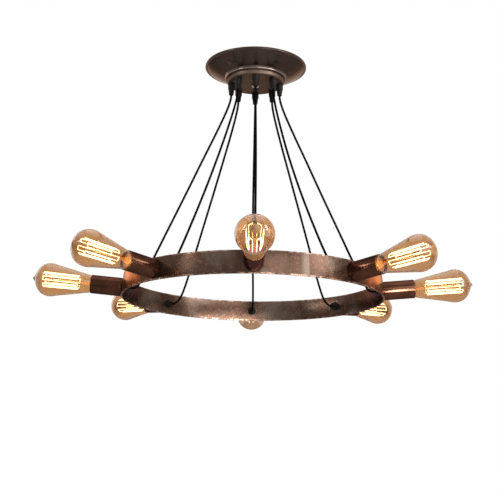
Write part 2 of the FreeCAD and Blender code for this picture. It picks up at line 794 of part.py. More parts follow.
# Tubes through the band, with a bush on the cord's side and a nut in each cup
def make_ring_fittings():
    back = -size.band_plate - size.seat_gap
    saddle = size.seat_gap * 3
    flange = back - saddle - size.flange_height
    collar = back - saddle - size.bush_collar
    mouth = back - saddle - size.bush_length
    inner = back - saddle - size.thread_depth
    bore = size.cord_radius + size.side_gap
    thread = size.tube_radius + size.seat_gap
    soft = size.bush_round
    tube_start = inner + size.seat_gap
    nut_seat = size.seat_gap + size.cup_floor + size.seat_gap
    tube_end = nut_seat + size.nut_height + size.holder_back
    lead_end = nut_seat + size.nut_height + size.seat_gap + holder_chamber_end()
    bushes, tubes, nuts, leads = [], [], [], []
    for place in range(PLACES):
        where = outward(place)
        bushes.append(turned(f"ring_bush_{place + 1}", where, (thread, back - saddle), [
            (size.flange_radius, back - saddle),
            (size.flange_radius, flange),
            (size.bush_radius, flange),
            (size.bush_radius, collar + soft),
            (size.bush_radius - soft, collar),
            (size.bush_neck, collar),
            (size.bush_neck, mouth),
            (bore, mouth),
            (bore, inner),
            (thread, inner),
        ]))
        tubes.append(threaded_tube(f"socket_nipple_{place + 1}", where, tube_start, tube_end))
        seat = where.multVec(FreeCAD.Vector(0, 0, float(nut_seat)))
        nuts.append(nut(f"nipple_nut_{place + 1}", FreeCAD.Placement(seat, where.Rotation),
                        size.nut_flats, size.nut_height, thread))
        lead_start = mouth + size.cord_entry + size.seat_gap
        leads.append(turned(f"socket_lead_{place + 1}", where, (zero, lead_start), [
            (size.cord_radius, lead_start),
            (size.cord_radius, lead_end),
            (zero, lead_end),
        ]))
    group("ring_bushes", bushes)
    group("socket_nipples", tubes)
    group("nipple_nuts", nuts)
    group("socket_leads", leads)


def holder_start():
    """Height of the holder's back on the socket's axis."""
    return size.seat_gap * 3 + size.cup_floor + size.nut_height


def contact_level():
    """Height of the bulb's tip on the socket's axis."""
    return size.seat_gap + size.cup_length - size.bulb_insert


def holder_seat():
    """Height of the floor under the screw shell."""
    return contact_level() - size.contact_height - size.seat_gap


def holder_chamber_end():
    """Depth of the terminal chamber from the holder's back."""
    return holder_seat() - size.holder_floor - holder_start()


# Socket cups: drawn steel, with a flat floor on the band
def make_socket_cup(place):
    radius = size.cup_radius
    wall = size.cup_wall
    start = size.seat_gap
    end = start + size.cup_length
    corner = size.cup_corner
    lip = size.cup_lip
    bore = size.tube_radius + size.side_gap
    floor = start + size.cup_floor
    return keep(turned(f"socket_cup_{place + 1}", outward(place), (bore, start), [
        (radius - corner, start),
        (radius, start + corner),
        (radius, end - lip),
        (radius - lip, end),
        (radius - wall + lip, end),
        (radius - wall, end - lip),
        (radius - wall, floor),
        (bore, floor),
    ]))


# Lamp holders: insulating body, brass screw shell and centre contact
def make_lamp_holders():
    start = holder_start()
    back = start + size.holder_back
    bore = size.tube_radius + size.side_gap
    chamber = start + holder_chamber_end()
    seat = holder_seat()
    rim = size.seat_gap + size.cup_length - size.holder_recess
    outer = size.shell_radius
    inner = outer - size.shell_plate
    holders, shells, contacts = [], [], []
    for place in range(PLACES):
        where = outward(place)
        holders.append(turned(f"lamp_holder_{place + 1}", where, (bore, start), [
            (size.holder_radius, start),
            (size.holder_radius, rim),
            (size.holder_bore, rim),
            (size.holder_bore, seat),
            (zero, seat),
            (zero, chamber),
            (size.chamber_radius, chamber),
            (size.chamber_radius, back),
            (bore, back),
        ]))
        shells.append(turned(f"screw_shell_{place + 1}", where, (outer, seat + size.seat_gap), [
            (outer, rim - size.shell_plate),
            (inner, rim - size.shell_plate),
            (inner, seat + size.seat_gap),
        ]))
        tongue = seat + size.seat_gap
        contacts.append(turned(f"centre_contact_{place + 1}", where, (zero, tongue), [
            (size.contact_radius, tongue),
            (size.contact_radius, tongue + size.shell_plate),
            (size.contact_radius / 2, tongue + size.contact_height - size.seat_gap),
            (zero, tongue + size.contact_height - size.seat_gap),
        ]))
    group("lamp_holders", holders)
    group("screw_shells", shells)
    group("centre_contacts", contacts)


# Bulbs: screw cap, tall glass with a pip, and the stem with its long squirrel cage
def make_bulb_base(place):
    start = contact_level() + size.seat_gap
    insulator = start + size.base_contact_height
    shell = insulator + size.base_insulator_height
    end = start + size.base_length
    wall = size.base_wall
    return keep(turned(f"bulb_base_{place + 1}", outward(place), (zero, start), [
        (size.base_contact, start),
        (size.base_contact, insulator),
        (size.base_insulator, shell),
        (size.base_radius, shell + (size.base_radius - size.base_insulator)),
        (size.base_radius, end),
        (size.base_radius - wall, end),
        (size.base_radius - wall, shell + size.base_insulator_height),
        (size.base_contact, shell),
        (zero, shell),
    ]))


def make_bulb_glass(place):
    mouth = size.seat_gap + size.cup_length
    start = contact_level() + size.seat_gap * 2 + size.base_length
    wall = size.glass_wall
    throat = mouth + size.throat_reach
    belly = mouth + size.belly_reach
    cone = belly - size.belly_start
    crown = belly + other_leg(size.belly_radius, size.crown_radius)
    pip = crown + size.pip_rise
    tip = pip + size.pip_radius
    half = math.sqrt(0.5)
    inner = size.belly_radius - wall
    inner_run = crown - wall - cone
    corners = [(other_leg(inner, cone + inner_run * share - belly), cone + inner_run * share)
               for share in reversed(BELLY_STEPS)]
    return keep(turned(f"bulb_glass_{place + 1}", outward(place), (size.base_radius, start), [
        (size.neck_radius, mouth),
        (size.throat_radius, throat),
        (other_leg(size.belly_radius, size.belly_start), cone),
        (size.crown_radius, crown, size.belly_radius, belly),
        (size.pip_radius, pip),
        (zero, tip, size.pip_radius * half, pip + (tip - pip) * half),
        (zero, pip - wall),
        (size.pip_radius, pip - wall),
        (other_leg(inner, crown - wall - belly), crown - wall),
        *corners,
        (other_leg(inner, size.belly_start), cone),
        (size.throat_radius - wall, throat),
        (size.neck_radius - wall, mouth),
        (size.base_radius - wall, start),
    ]))


def strand(points, side):
    """Square wire through these points, with mitred corners."""
    path = Part.makePolygon(points)
    along = (points[1] - points[0]).normalize()
    across = along.cross(points[0] - FreeCAD.Vector(0, 0, points[0].z))
    if across.Length == 0:
        across = along.cross(points[1] - FreeCAD.Vector(0, 0, points[1].z))
    across.normalize()
    up = along.cross(across)
    corners = [points[0] + (across * a + up * b) * (side / 2) for a, b in
               ((1, 1), (-1, 1), (-1, -1), (1, -1), (1, 1))]
    section = Part.makePolygon(corners)
    return path.makePipeShell([section], True, True, 1)


def make_filament(place):
    mouth = float(size.seat_gap + size.cup_length)
    start = float(contact_level() + size.seat_gap * 3 + size.base_length)
    foot = mouth + float(size.hoop_foot_reach)
    head = mouth + float(size.hoop_head_reach)
    end = mouth + float(size.stem_reach)
    rod = float(size.stem_rod)
    flare = float(size.base_radius - size.glass_wall - size.seat_gap * 3)
    button = float(size.stem_button)
    hook = float(size.hook_rise)
    outline = [
        FreeCAD.Vector(0, 0, start),
        FreeCAD.Vector(flare, 0, start),
        FreeCAD.Vector(rod, 0, start + float(size.stem_flare)),
        FreeCAD.Vector(rod, 0, end - button),
        FreeCAD.Vector(button, 0, end),
        FreeCAD.Vector(rod, 0, end + button),
        FreeCAD.Vector(0, 0, end + button),
        FreeCAD.Vector(0, 0, start),
    ]
    stem = Part.Face(Part.makePolygon(outline)).revolve(FreeCAD.Vector(), FreeCAD.Vector(0, 0, 1), FULL_TURN)
    count = int(size.strand_count.number)
    foot_radius = float(size.hoop_foot_radius)
    head_radius = float(size.hoop_head_radius)
    points = []
    for number in range(count):
        angle = 2 * math.pi * (number + 0.5) / count
        low = FreeCAD.Vector(foot_radius * math.cos(angle), foot_radius * math.sin(angle), foot)
        high = FreeCAD.Vector(head_radius * math.cos(angle), head_radius * math.sin(angle), head)
        points += [low, high] if number % 2 == 0 else [high, low]
    cage = strand(points, float(size.strand_side))
    chord = math.cos(math.pi / count)
    spokes = []
    for number in range(1, count):
        angle = 2 * math.pi * number / count
        tip = FreeCAD.Vector(math.cos(angle), math.sin(angle), 0)
        if number % 2:
            root = FreeCAD.Vector(0, 0, end)
            hold = tip * (head_radius * chord) + FreeCAD.Vector(0, 0, head)
        else:
            root = FreeCAD.Vector(0, 0, foot + hook)
            hold = tip * (foot_radius * chord) + FreeCAD.Vector(0, 0, foot)
        spokes.append(strand([root, hold], float(size.spoke_side)))
    for free_end in (points[0], points[-1]):
        spokes.append(strand([FreeCAD.Vector(0, 0, foot - hook), free_end], float(size.spoke_side)))
    piece = doc.addObject("Part::Feature", f"filament_{place + 1}")
    piece.Label = f"filament_{place + 1}"
    piece.Shape = stem.multiFuse([cage] + spokes)
    piece.Placement = outward(place)
    return keep(piece)


# Cords: each hangs from its grip to its bush, in the plane of its place
def cord_points(place):
    grip_mouth = float(size.pan_drop + size.grip_length)
    start = (float(size.grip_circle), -grip_mouth)
    lean = math.radians(float(size.flare))
    bush_face = float(size.band_plate + size.seat_gap * 4 + size.bush_length)

    def on_axis(depth):
        along = float(size.ring_radius) - depth * math.cos(lean)
        return along, -float(size.drop) - depth * math.sin(lean)

    end = on_axis(bush_face)
    belly, knee = CORD_SLACK[place]
    flat = [(start[0], start[1] + float(size.cord_entry)), (start[0], start[1] - float(size.cord_lead_out))]
    for (out_share, down_share), belly_share, knee_share in zip(CORD_ROUTE_SHARES, BELLY_SHARES, KNEE_SHARES):
        reach = start[0] + out_share * (end[0] - start[0]) + belly * belly_share + knee * knee_share
        flat.append((reach, start[1] + down_share * (end[1] - start[1])))
    flat.append(on_axis(bush_face + float(size.cord_lead_out)))
    flat.append(on_axis(bush_face - float(size.cord_entry)))
    angle = math.radians(azimuth(place))
    return [FreeCAD.Vector(reach * math.sin(angle), -reach * math.cos(angle), level) for reach, level in flat]


def make_cord(place):
    radius = float(size.cord_radius)
    cord, radii, length = tube_along(f"cord_{place + 1}", cord_points(place), radius, arc_share=ARC_SHARE)
    volume = math.pi * radius * radius * length
    print(f"cord_{place + 1}: length {length:.1f}, radii {' '.join(f'{r:.0f}' for r in radii)},",
          f"volume share {cord.Shape.Volume / volume:.4f}")
    return keep(cord)


# Leads from the grips to the terminal block, inside the canopy
def make_canopy_leads():
    top = float(size.pan_drop - size.pan_wall - size.grip_thread)
    turn_level = top - float(size.lead_rise + size.lead_bend)
    circle = float(size.grip_circle)
    inner = float(size.rosette_flats / 2 + size.seat_gap)
    leads = []
    for place in range(PLACES):
        angle = math.radians(azimuth(place))
        points = [FreeCAD.Vector(reach * math.sin(angle), -reach * math.cos(angle), -level) for reach, level in
                  ((circle, top - float(size.seat_gap)), (circle, turn_level), (inner, turn_level))]
        lead, _, _ = tube_along(f"canopy_lead_{place + 1}", points, float(size.lead_radius),
                                arc_radius=float(size.lead_bend))
        leads.append(lead)
    group("canopy_leads", leads)


def check_and_write():
    """Refuse a failed object, and write each sub-part under its label."""
    doc.recompute()
    for item in doc.Objects:
        if {"Invalid", "Error"} & set(item.State):
            raise RuntimeError(f"{item.Label} failed: {item.State}")
    os.makedirs("parts", exist_ok=True)
    for piece in kept:
        if piece.Shape.isNull() or not piece.Shape.isValid():
            raise RuntimeError(f"{piece.Label} has no valid shape")
        piece.Shape.exportStep(f"parts/{piece.Label}.step")
    print(len(kept), "sub-parts")


make_ceiling_bracket()
make_earth_screw()
make_centre_nipple()
make_bracket_nuts()
make_hub_cap_nut()
make_canopy_dish()
make_hub_pan()
make_cord_grips()
make_terminal_rosette()
make_canopy_leads()
make_ring_band()
make_ring_fittings()
make_lamp_holders()
for place in range(PLACES):
    make_cord(place)
    make_socket_cup(place)
    make_bulb_base(place)
    make_bulb_glass(place)
    make_filament(place)
check_and_write()
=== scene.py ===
import logging
from collections.abc import Callable
from dataclasses import dataclass
from enum import Enum
from functools import cached_property
from math import asin, cos, degrees, pi, radians, sin, tau

import bmesh
import bpy
from mathutils import Matrix, Vector


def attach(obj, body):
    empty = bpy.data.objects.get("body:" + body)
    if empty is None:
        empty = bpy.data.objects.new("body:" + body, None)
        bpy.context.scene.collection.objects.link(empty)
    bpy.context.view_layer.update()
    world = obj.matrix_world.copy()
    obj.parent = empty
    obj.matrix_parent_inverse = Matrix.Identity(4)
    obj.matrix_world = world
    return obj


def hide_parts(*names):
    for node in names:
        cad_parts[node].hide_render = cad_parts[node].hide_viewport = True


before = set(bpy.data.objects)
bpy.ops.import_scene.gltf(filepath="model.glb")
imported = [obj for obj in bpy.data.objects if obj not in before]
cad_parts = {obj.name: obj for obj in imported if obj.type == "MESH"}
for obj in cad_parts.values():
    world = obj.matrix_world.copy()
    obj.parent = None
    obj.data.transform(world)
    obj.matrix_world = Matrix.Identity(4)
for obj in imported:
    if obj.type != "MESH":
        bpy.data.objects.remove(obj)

# The dressed chandelier. Everything is in metres, in the frame of the solids: the origin is
# at the ceiling on the canopy's axis, +Z is up, and place 1 is the nearest to -Y, from where
# the eight places run on towards +X.

Point = tuple[float, float]
Spot = tuple[float, float, float]
Colour = tuple[float, float, float]
Marks = tuple[Point, ...]
Piece = bpy.types.Object
Finish = bpy.types.Material

PLACES = 8
DROP = 0.458
RING_RADIUS = 0.250
FLARE = radians(5.2)
GRIP_CIRCLE = 0.0485
PAN_DROP = 0.037
SEAT_GAP = 0.0001
CUP_MOUTH = SEAT_GAP + 0.061
BULB_TIP = CUP_MOUTH - 0.0286 + SEAT_GAP
ROOT_BODY = "fitting"

log = logging.getLogger("chandelier")


class Slot(Enum):
    """Material slots of the record, named in the calls that dress the scene's own pieces."""

    BRONZE = "bronze_iron"
    FITTING = "black_fitting"
    CORD = "black_cord"
    BRASS = "brass"
    GLASS = "amber_glass"
    FILAMENT = "filament"


def azimuth(place: int) -> float:
    """Return the angle of a place round the ring, from -Y towards +X, in radians."""
    return tau * place / PLACES


def outward(place: int) -> Matrix:
    """Find the frame on the band's outer face, with +Z along the socket's axis.

    Args:
        place: The place's number, from 0 at the near one.

    Returns:
        The frame of that place's socket.
    """
    angle = azimuth(place)
    spot = Matrix.Translation((RING_RADIUS * sin(angle), -RING_RADIUS * cos(angle), -DROP))
    spin = Matrix.Rotation(angle - pi / 2, 4, "Z")
    return spot @ spin @ Matrix.Rotation(pi / 2 - FLARE, 4, "Y")


def hanging(place: int) -> Matrix:
    """Find the frame at the ceiling over the circle of the grips, with +Z down.

    Args:
        place: The place's number, from 0 at the near one.

    Returns:
        The frame of that place's cord grip.
    """
    angle = azimuth(place)
    spot = Matrix.Translation((GRIP_CIRCLE * sin(angle), -GRIP_CIRCLE * cos(angle), 0.0))
    return spot @ Matrix.Rotation(angle, 4, "Z") @ Matrix.Rotation(pi, 4, "X")


class Value:
    """An output of a shader graph that takes part in sums."""

    def __init__(self, graph: "Graph", socket: bpy.types.NodeSocket) -> None:
        """Hold an output and the graph that it belongs to."""
        self.graph = graph
        self.socket = socket

    def __add__(self, other: "Value | float") -> "Value":
        """Return the sum."""
        return self.graph.math("ADD", self, other)

    def __sub__(self, other: "Value | float") -> "Value":
        """Return the difference."""
        return self.graph.math("SUBTRACT", self, other)

    def __rsub__(self, other: float) -> "Value":
        """Return a number less this value."""
        return self.graph.math("SUBTRACT", other, self)

    def __mul__(self, other: "Value | float") -> "Value":
        """Return the product."""
        return self.graph.math("MULTIPLY", self, other)

    __radd__ = __add__
    __rmul__ = __mul__

    def __abs__(self) -> "Value":
        """Return the size without its sign."""
        return self.graph.math("ABSOLUTE", self, 0.0)


class Graph:
    """The node tree of a new material or world."""

    def __init__(self, name: str, kind: str = "Material") -> None:
        """Make the material or world with an empty tree.

        Args:
            name: Its name.
            kind: Material or World.
        """
        self.kind = kind
        self.owner = (bpy.data.worlds if kind == "World" else bpy.data.materials).new(name)
        self.owner.use_nodes = True
        self.tree = self.owner.node_tree
        self.tree.nodes.clear()

    @cached_property
    def place(self) -> Value:
        """The piece's own coordinates."""
        return self.add("ShaderNodeTexCoord", output="Object")

    def node(self, kind: str, settings: dict | None = None,
             inputs: dict | None = None) -> bpy.types.Node:
        """Add a node.

        Args:
            kind: The node's type.
            settings: Its settings, set first.
            inputs: Values or links of its sockets, by index or name.

        Returns:
            The node.
        """
        node = self.tree.nodes.new(kind)
        for key, value in (settings or {}).items():
            setattr(node, key, value)
        for key, value in (inputs or {}).items():
            socket = node.inputs[key]
            if isinstance(value, Value):
                self.tree.links.new(value.socket, socket)
            elif isinstance(value, tuple) and len(value) == 3 and socket.type == "RGBA":
                socket.default_value = (*value, 1.0)
            else:
                socket.default_value = value
        return node

    def add(self, kind: str, settings: dict | None = None, inputs: dict | None = None,
            output: int | str = 0) -> Value:
        """Add a node and return one of its outputs, by index or name."""
        return Value(self, self.node(kind, settings, inputs).outputs[output])

    def noise(self, scale: float, detail: float = 3.0, roughness: float = 0.55,
              warp: float = 0.0) -> Value:
        """Add a noise from 0 to 1 on the piece's own coordinates.

        Args:
            scale: Its grains in a metre.
            detail: Its finer layers.
            roughness: The share of the finer layers.
            warp: How far it is distorted.

        Returns:
            The noise.
        """
        return self.add("ShaderNodeTexNoise", inputs={
            "Vector": self.place, "Scale": scale, "Detail": detail, "Roughness": roughness,
            "Distortion": warp,
        })

    def math(self, operation: str, *terms: Value | float) -> Value:
        """Return a Math node's result."""
        return self.add("ShaderNodeMath", {"operation": operation}, dict(enumerate(terms)))

    def mask(self, value: Value, low: float, high: float) -> Value:
        """Return a soft step from 0 at `low` to 1 at `high`."""
        return self.add("ShaderNodeMapRange", {"interpolation_type": "SMOOTHSTEP"},
                        {"Value": value, "From Min": low, "From Max": high})

    def blend(self, share: Value | float, first: Value | Colour, second: Value | Colour) -> Value:
        """Return a colour between two, by share."""
        return self.add("ShaderNodeMix", {"data_type": "RGBA"}, {0: share, 6: first, 7: second}, 2)

    def bump(self, height: Value, distance: float) -> Value:
        """Return a normal for a height of up to `distance` metres."""
        return self.add("ShaderNodeBump", inputs={"Height": height, "Distance": distance})

    def axes(self) -> list[Value]:
        """Return x, y and z on the piece's own coordinates."""
        split = self.node("ShaderNodeSeparateXYZ", inputs={0: self.place})
        return [Value(self, socket) for socket in split.outputs]

    def reach(self) -> Value:
        """Measure how far a point is from the canopy's axis.

        Returns:
            The distance, in metres.
        """
        flat = self.add("ShaderNodeVectorMath", {"operation": "MULTIPLY"},
                        {0: self.place, 1: (1.0, 1.0, 0.0)})
        return self.add("ShaderNodeVectorMath", {"operation": "LENGTH"}, {0: flat}, output="Value")

    def surface(self, inputs: dict) -> Finish:
        """Finish the graph with one Principled surface and return the material."""
        return self.finish(self.add("ShaderNodeBsdfPrincipled", inputs=inputs))

    def finish(self, shader: Value) -> bpy.types.ID:
        """Link a shader to the graph's output and return the material or world."""
        self.node(f"ShaderNodeOutput{self.kind}", inputs={"Surface": shader})
        return self.owner


# Where each kind of mark on the iron starts and ends, on the noise that places it
WARM_BAND = (0.38, 0.66)
RUBBED_BAND = (0.50, 0.64)
RUST_BAND = (0.52, 0.70)
FLECK_BAND = (0.64, 0.78)
FLECK_FIELD = (0.44, 0.60)
CHIP_BAND = (0.47, 0.60)

# How much each kind of mark raises the iron, and roughens it, and the roughness that they take off
BLOOM_HEIGHT, FLECK_HEIGHT, CLOUD_HEIGHT, SEAM_DEPTH = 0.5, 0.15, 0.6, 1.6
BLOOM_ROUGH, GRAIN_ROUGH, ROUGH_SHIFT = 0.22, 0.08, 0.14

# A painted highlight line along a circle: the share of its width that takes the full painted
# highlight, and how much the clouds vary it
HIGHLIGHT_CORE, HIGHLIGHT_CLOUD, HIGHLIGHT_FLOOR = 0.4, 0.8, 0.3

# The weld seam between two places, and the ground patch on one side of it, in metres
SEAM_TURN = radians(22.5)
SEAM_LINE = (0.0004, 0.0009)
GROUND_START = (-0.019, -0.007)
GROUND_END = (0.0002, 0.0016)
SEAM_SIDE = (0.0, 0.01)

# The band's edges, worn and brightened by a painted highlight, by distance from its mid height, and
# the middle of a cup's wall, inside which the bulbs' glow is painted, by distance from its socket's
# axis
EDGE_BAND = (0.0176, 0.0200)
CUP_WALL = (0.0171, 0.0177)


@dataclass(frozen=True)
class AgedIron:
    """Hand rubbed iron: a dark coat with warm clouds, rust blooms and grey rubbed patches.

    The optional marks are painted highlights, which are bright lines painted along circles given by
    radius and width, a weld seam with worn edges that also carry a painted highlight, and the bulbs'
    warm glow painted on the cups' inner walls.
    """

    name: str
    coat: Colour
    warm: Colour
    rust: Colour
    rubbed: Colour
    rust_share: float
    rubbed_share: float
    roughness: float
    metal: float = 0.85
    seam: bool = False
    seam_share: float = 0.55
    chip_share: float = 0.65
    ground_share: float = 0.8
    fleck_share: float = 0.7
    cloud_scale: float = 16.0
    rub_scale: float = 9.0
    chip_scale: float = 110.0
    bloom_scale: float = 90.0
    fleck_scale: float = 420.0
    grain_scale: float = 1500.0
    sheen: Colour = (0.42, 0.27, 0.21)
    relief: float = 0.0005
    # Painted highlights: circles, as radius and width, where a bright line stands in for the lamps'
    # reflection; the next colour is theirs, and also that of the band's worn, lit edges
    painted_highlights: tuple[Point, ...] = ()
    polish_and_highlight: Colour = (0.24, 0.19, 0.16)
    # The bulbs' warm glow, painted on the cups' inner walls
    painted_bulb_glow: Colour | None = None

    def material(self) -> Finish:
        """Make the iron's material.

        Returns:
            The material.
        """
        graph = Graph(self.name)
        clouds = graph.noise(self.cloud_scale, detail=5.0, warp=0.6)
        blooms = graph.noise(self.bloom_scale, detail=6.0, roughness=0.68, warp=0.4)
        flecks = graph.noise(self.fleck_scale, detail=2.0)
        grain = graph.noise(self.grain_scale, detail=1.0)
        rubs = graph.noise(self.rub_scale, detail=4.0, warp=0.5)
        rubbed = graph.mask(rubs, *RUBBED_BAND) * self.rubbed_share
        rust = graph.mask(blooms, *RUST_BAND) * self.rust_share
        specks = graph.mask(flecks, *FLECK_BAND) * graph.mask(blooms, *FLECK_FIELD)
        height = blooms * BLOOM_HEIGHT + flecks * FLECK_HEIGHT + clouds * CLOUD_HEIGHT
        if self.seam:
            line, ground = self.seam_masks(graph)
            rubbed = rubbed + ground
            height = height - line * SEAM_DEPTH
        colour = graph.blend(graph.mask(clouds, *WARM_BAND), self.coat, self.warm)
        colour = graph.blend(rubbed, colour, self.rubbed)
        colour = graph.blend(rust, colour, self.rust)
        colour = graph.blend(specks * self.rust_share * self.fleck_share, colour, self.rust)
        # Painted highlight: bright lines along the canopy's lip and bead, where the lamps would be
        # reflected
        for radius, width in self.painted_highlights:
            highlight_mask = 1.0 - graph.mask(abs(graph.reach() - radius), width * HIGHLIGHT_CORE, width)
            share = highlight_mask * (clouds * HIGHLIGHT_CLOUD + HIGHLIGHT_FLOOR)
            colour = graph.blend(share, colour, self.polish_and_highlight)
        if self.seam:
            colour = graph.blend(line * self.seam_share, colour, self.coat)
            # Painted highlight along the band's edges, broken up by chips of wear
            colour = graph.blend(self.worn_lit_edge_mask(graph), colour, self.polish_and_highlight)
        # Painted light: the bulbs' warm glow on the cups' inner walls
        if self.painted_bulb_glow:
            colour = graph.blend(self.cup_glow_mask(graph), colour, self.painted_bulb_glow)
        return graph.surface({
            "Base Color": colour,
            "Metallic": self.metal,
            "Specular Tint": (*self.sheen, 1.0),
            "Roughness": blooms * BLOOM_ROUGH + grain * GRAIN_ROUGH + (self.roughness - ROUGH_SHIFT),
            "Normal": graph.bump(height, self.relief),
        })

    def seam_masks(self, graph: Graph) -> tuple[Value, Value]:
        """Mask the weld seam's line and the ground patch beside it.

        Args:
            graph: The material's graph.

        Returns:
            The mask of the line and the mask of the patch.
        """
        x, y, _ = graph.axes()
        side = x * cos(SEAM_TURN) + y * sin(SEAM_TURN)
        near = graph.mask(x * sin(SEAM_TURN) - y * cos(SEAM_TURN), *SEAM_SIDE)
        line = (1.0 - graph.mask(abs(side), *SEAM_LINE)) * near
        ground = graph.mask(side, *GROUND_START) * (1.0 - graph.mask(side, *GROUND_END)) * near
        return line, ground * self.ground_share

    def worn_lit_edge_mask(self, graph: Graph) -> Value:
        """Mask the band's edges, by height: chips of wear that also carry a painted highlight where
        the edges catch the light.

        Args:
            graph: The material's graph.

        Returns:
            The mask.
        """
        height = abs(graph.axes()[2] + DROP)
        chips = graph.mask(graph.noise(self.chip_scale, detail=6.0), *CHIP_BAND)
        return graph.mask(height, *EDGE_BAND) * chips * self.chip_share

    @staticmethod
    def cup_glow_mask(graph: Graph) -> Value:
        """Mask the cups' inner walls, where the bulbs' warm glow is painted, by distance from the
        nearest socket's axis.

        Args:
            graph: The material's graph.

        Returns:
            The mask.
        """
        x, y, z = graph.axes()
        half = pi / PLACES
        turn = graph.math("WRAP", graph.math("ARCTAN2", x, y * -1.0), half, -half)
        across, along = (graph.reach() * graph.math(kind, turn) for kind in ("SINE", "COSINE"))
        rise = (z + DROP) * cos(FLARE) - (along - RING_RADIUS) * sin(FLARE)
        inner, outer = CUP_WALL
        return 1.0 - graph.mask(across * across + rise * rise, inner ** 2, outer ** 2)


@dataclass(frozen=True)
class PlainCoat:
    """A moulded, plated or sprayed surface with a faint cloud and a fine grain."""

    name: str
    colour: Colour
    shade: Colour
    roughness: float
    metal: float = 0.0
    grain: float = 900.0
    relief: float = 0.00006
    shine: float = 0.5
    cloud_scale: float = 60.0

    def material(self) -> Finish:
        """Make the coat's material.

        Returns:
            The material.
        """
        graph = Graph(self.name)
        clouds = graph.noise(self.cloud_scale, detail=4.0)
        grain = graph.noise(self.grain, detail=2.0)
        return graph.surface({
            "Base Color": graph.blend(graph.mask(clouds, 0.3, 0.7), self.colour, self.shade),
            "Metallic": self.metal,
            "Roughness": grain * 0.12 + clouds * 0.10 + (self.roughness - 0.1),
            "Specular IOR Level": self.shine,
            "Normal": graph.bump(grain + clouds * 0.5, self.relief),
        })


# Bands of the glass: how far its wall is turned away where the deeper edge tint and the painted shade
# of its rim show, and the reach from the canopy's axis of the stem's root, where its painted glow
# turns deeper, the tinted tip and the pip, where the painted rim shade also shows
AWAY_TINT = (0.72, 0.98)
AWAY_RIM_SHADE = (0.62, 0.95)
ROOT_REACH = (0.318, 0.345)
TIP_REACH = (0.412, 0.419)
PIP_REACH = (0.4180, 0.4200)


@dataclass(frozen=True)
class TintedGlass:
    """Clear glass with a tint, ripples and dust, a painted dark rim where its wall is turned away,
    and a painted glow where one is given.
    """

    name: str
    tint: Colour
    deep: Colour
    edge_tint_and_shade: Colour
    roughness: float = 0.01
    ripple: float = 0.00004
    # A painted glow in the glass itself, deeper at the stem's root, for the strand's light inside it
    glow: Colour = (0.0, 0.0, 0.0)
    painted_root_glow: Colour = (0.0, 0.0, 0.0)
    strength: float = 0.0
    rim_shade: float = 0.0
    edge_share: float = 0.85
    tip_share: float = 0.7
    dust_rough: float = 0.02
    rim_shade_rough: float = 0.4
    refraction: float = 1.45
    cloud_scale: float = 22.0
    dust_scale: float = 260.0

    def material(self) -> Finish:
        """Make the glass's material.

        Returns:
            The material.
        """
        graph = Graph(self.name)
        clouds = graph.noise(self.cloud_scale, detail=2.0)
        dust = graph.noise(self.dust_scale, detail=3.0)
        away = graph.add("ShaderNodeLayerWeight", inputs={"Blend": 0.5}, output="Facing")
        reach = graph.reach()
        colour = graph.blend(graph.mask(clouds, 0.35, 0.65), self.tint, self.deep)
        colour = graph.blend(graph.mask(away, *AWAY_TINT) * self.edge_share, colour, self.edge_tint_and_shade)
        colour = graph.blend(graph.mask(reach, *TIP_REACH) * self.tip_share, colour, self.edge_tint_and_shade)
        glass = graph.add("ShaderNodeBsdfPrincipled", inputs={
            "Base Color": colour,
            "Roughness": graph.mask(dust, 0.55, 0.85) * self.dust_rough + self.roughness,
            "Transmission Weight": 1.0,
            "IOR": self.refraction,
            # Painted light: the glass glows, deeper towards the stem's root
            "Emission Color": graph.blend(graph.mask(reach, *ROOT_REACH), self.painted_root_glow, self.glow),
            "Emission Strength": self.strength,
            "Normal": graph.bump(clouds, self.ripple),
        })
        # Painted shade: a dull brown surface mixed in where the wall is turned away and at the pip,
        # darkening the glass's outline
        wall = graph.add("ShaderNodeBsdfPrincipled", inputs={
            "Base Color": self.edge_tint_and_shade,
            "Roughness": self.rim_shade_rough,
            "Specular IOR Level": 0.0,
        })
        share = (graph.mask(away, *AWAY_RIM_SHADE) + graph.mask(reach, *PIP_REACH)) * self.rim_shade
        return graph.finish(graph.add("ShaderNodeMixShader", inputs={0: share, 1: glass, 2: wall}))


@dataclass(frozen=True)
class HotWire:
    """A carbon strand that glows, a little cooler in places."""

    name: str
    colour: Colour
    cool: Colour
    strength: float
    spot_scale: float = 240.0

    def material(self) -> Finish:
        """Make the strand's material.

        Returns:
            The material.
        """
        graph = Graph(self.name)
        spots = graph.mask(graph.noise(self.spot_scale, detail=1.0), 0.35, 0.65)
        return graph.surface({
            "Base Color": graph.blend(spots, self.cool, self.colour),
            "Emission Color": graph.blend(spots, self.cool, self.colour),
            "Emission Strength": self.strength,
            "Roughness": 0.5,
        })


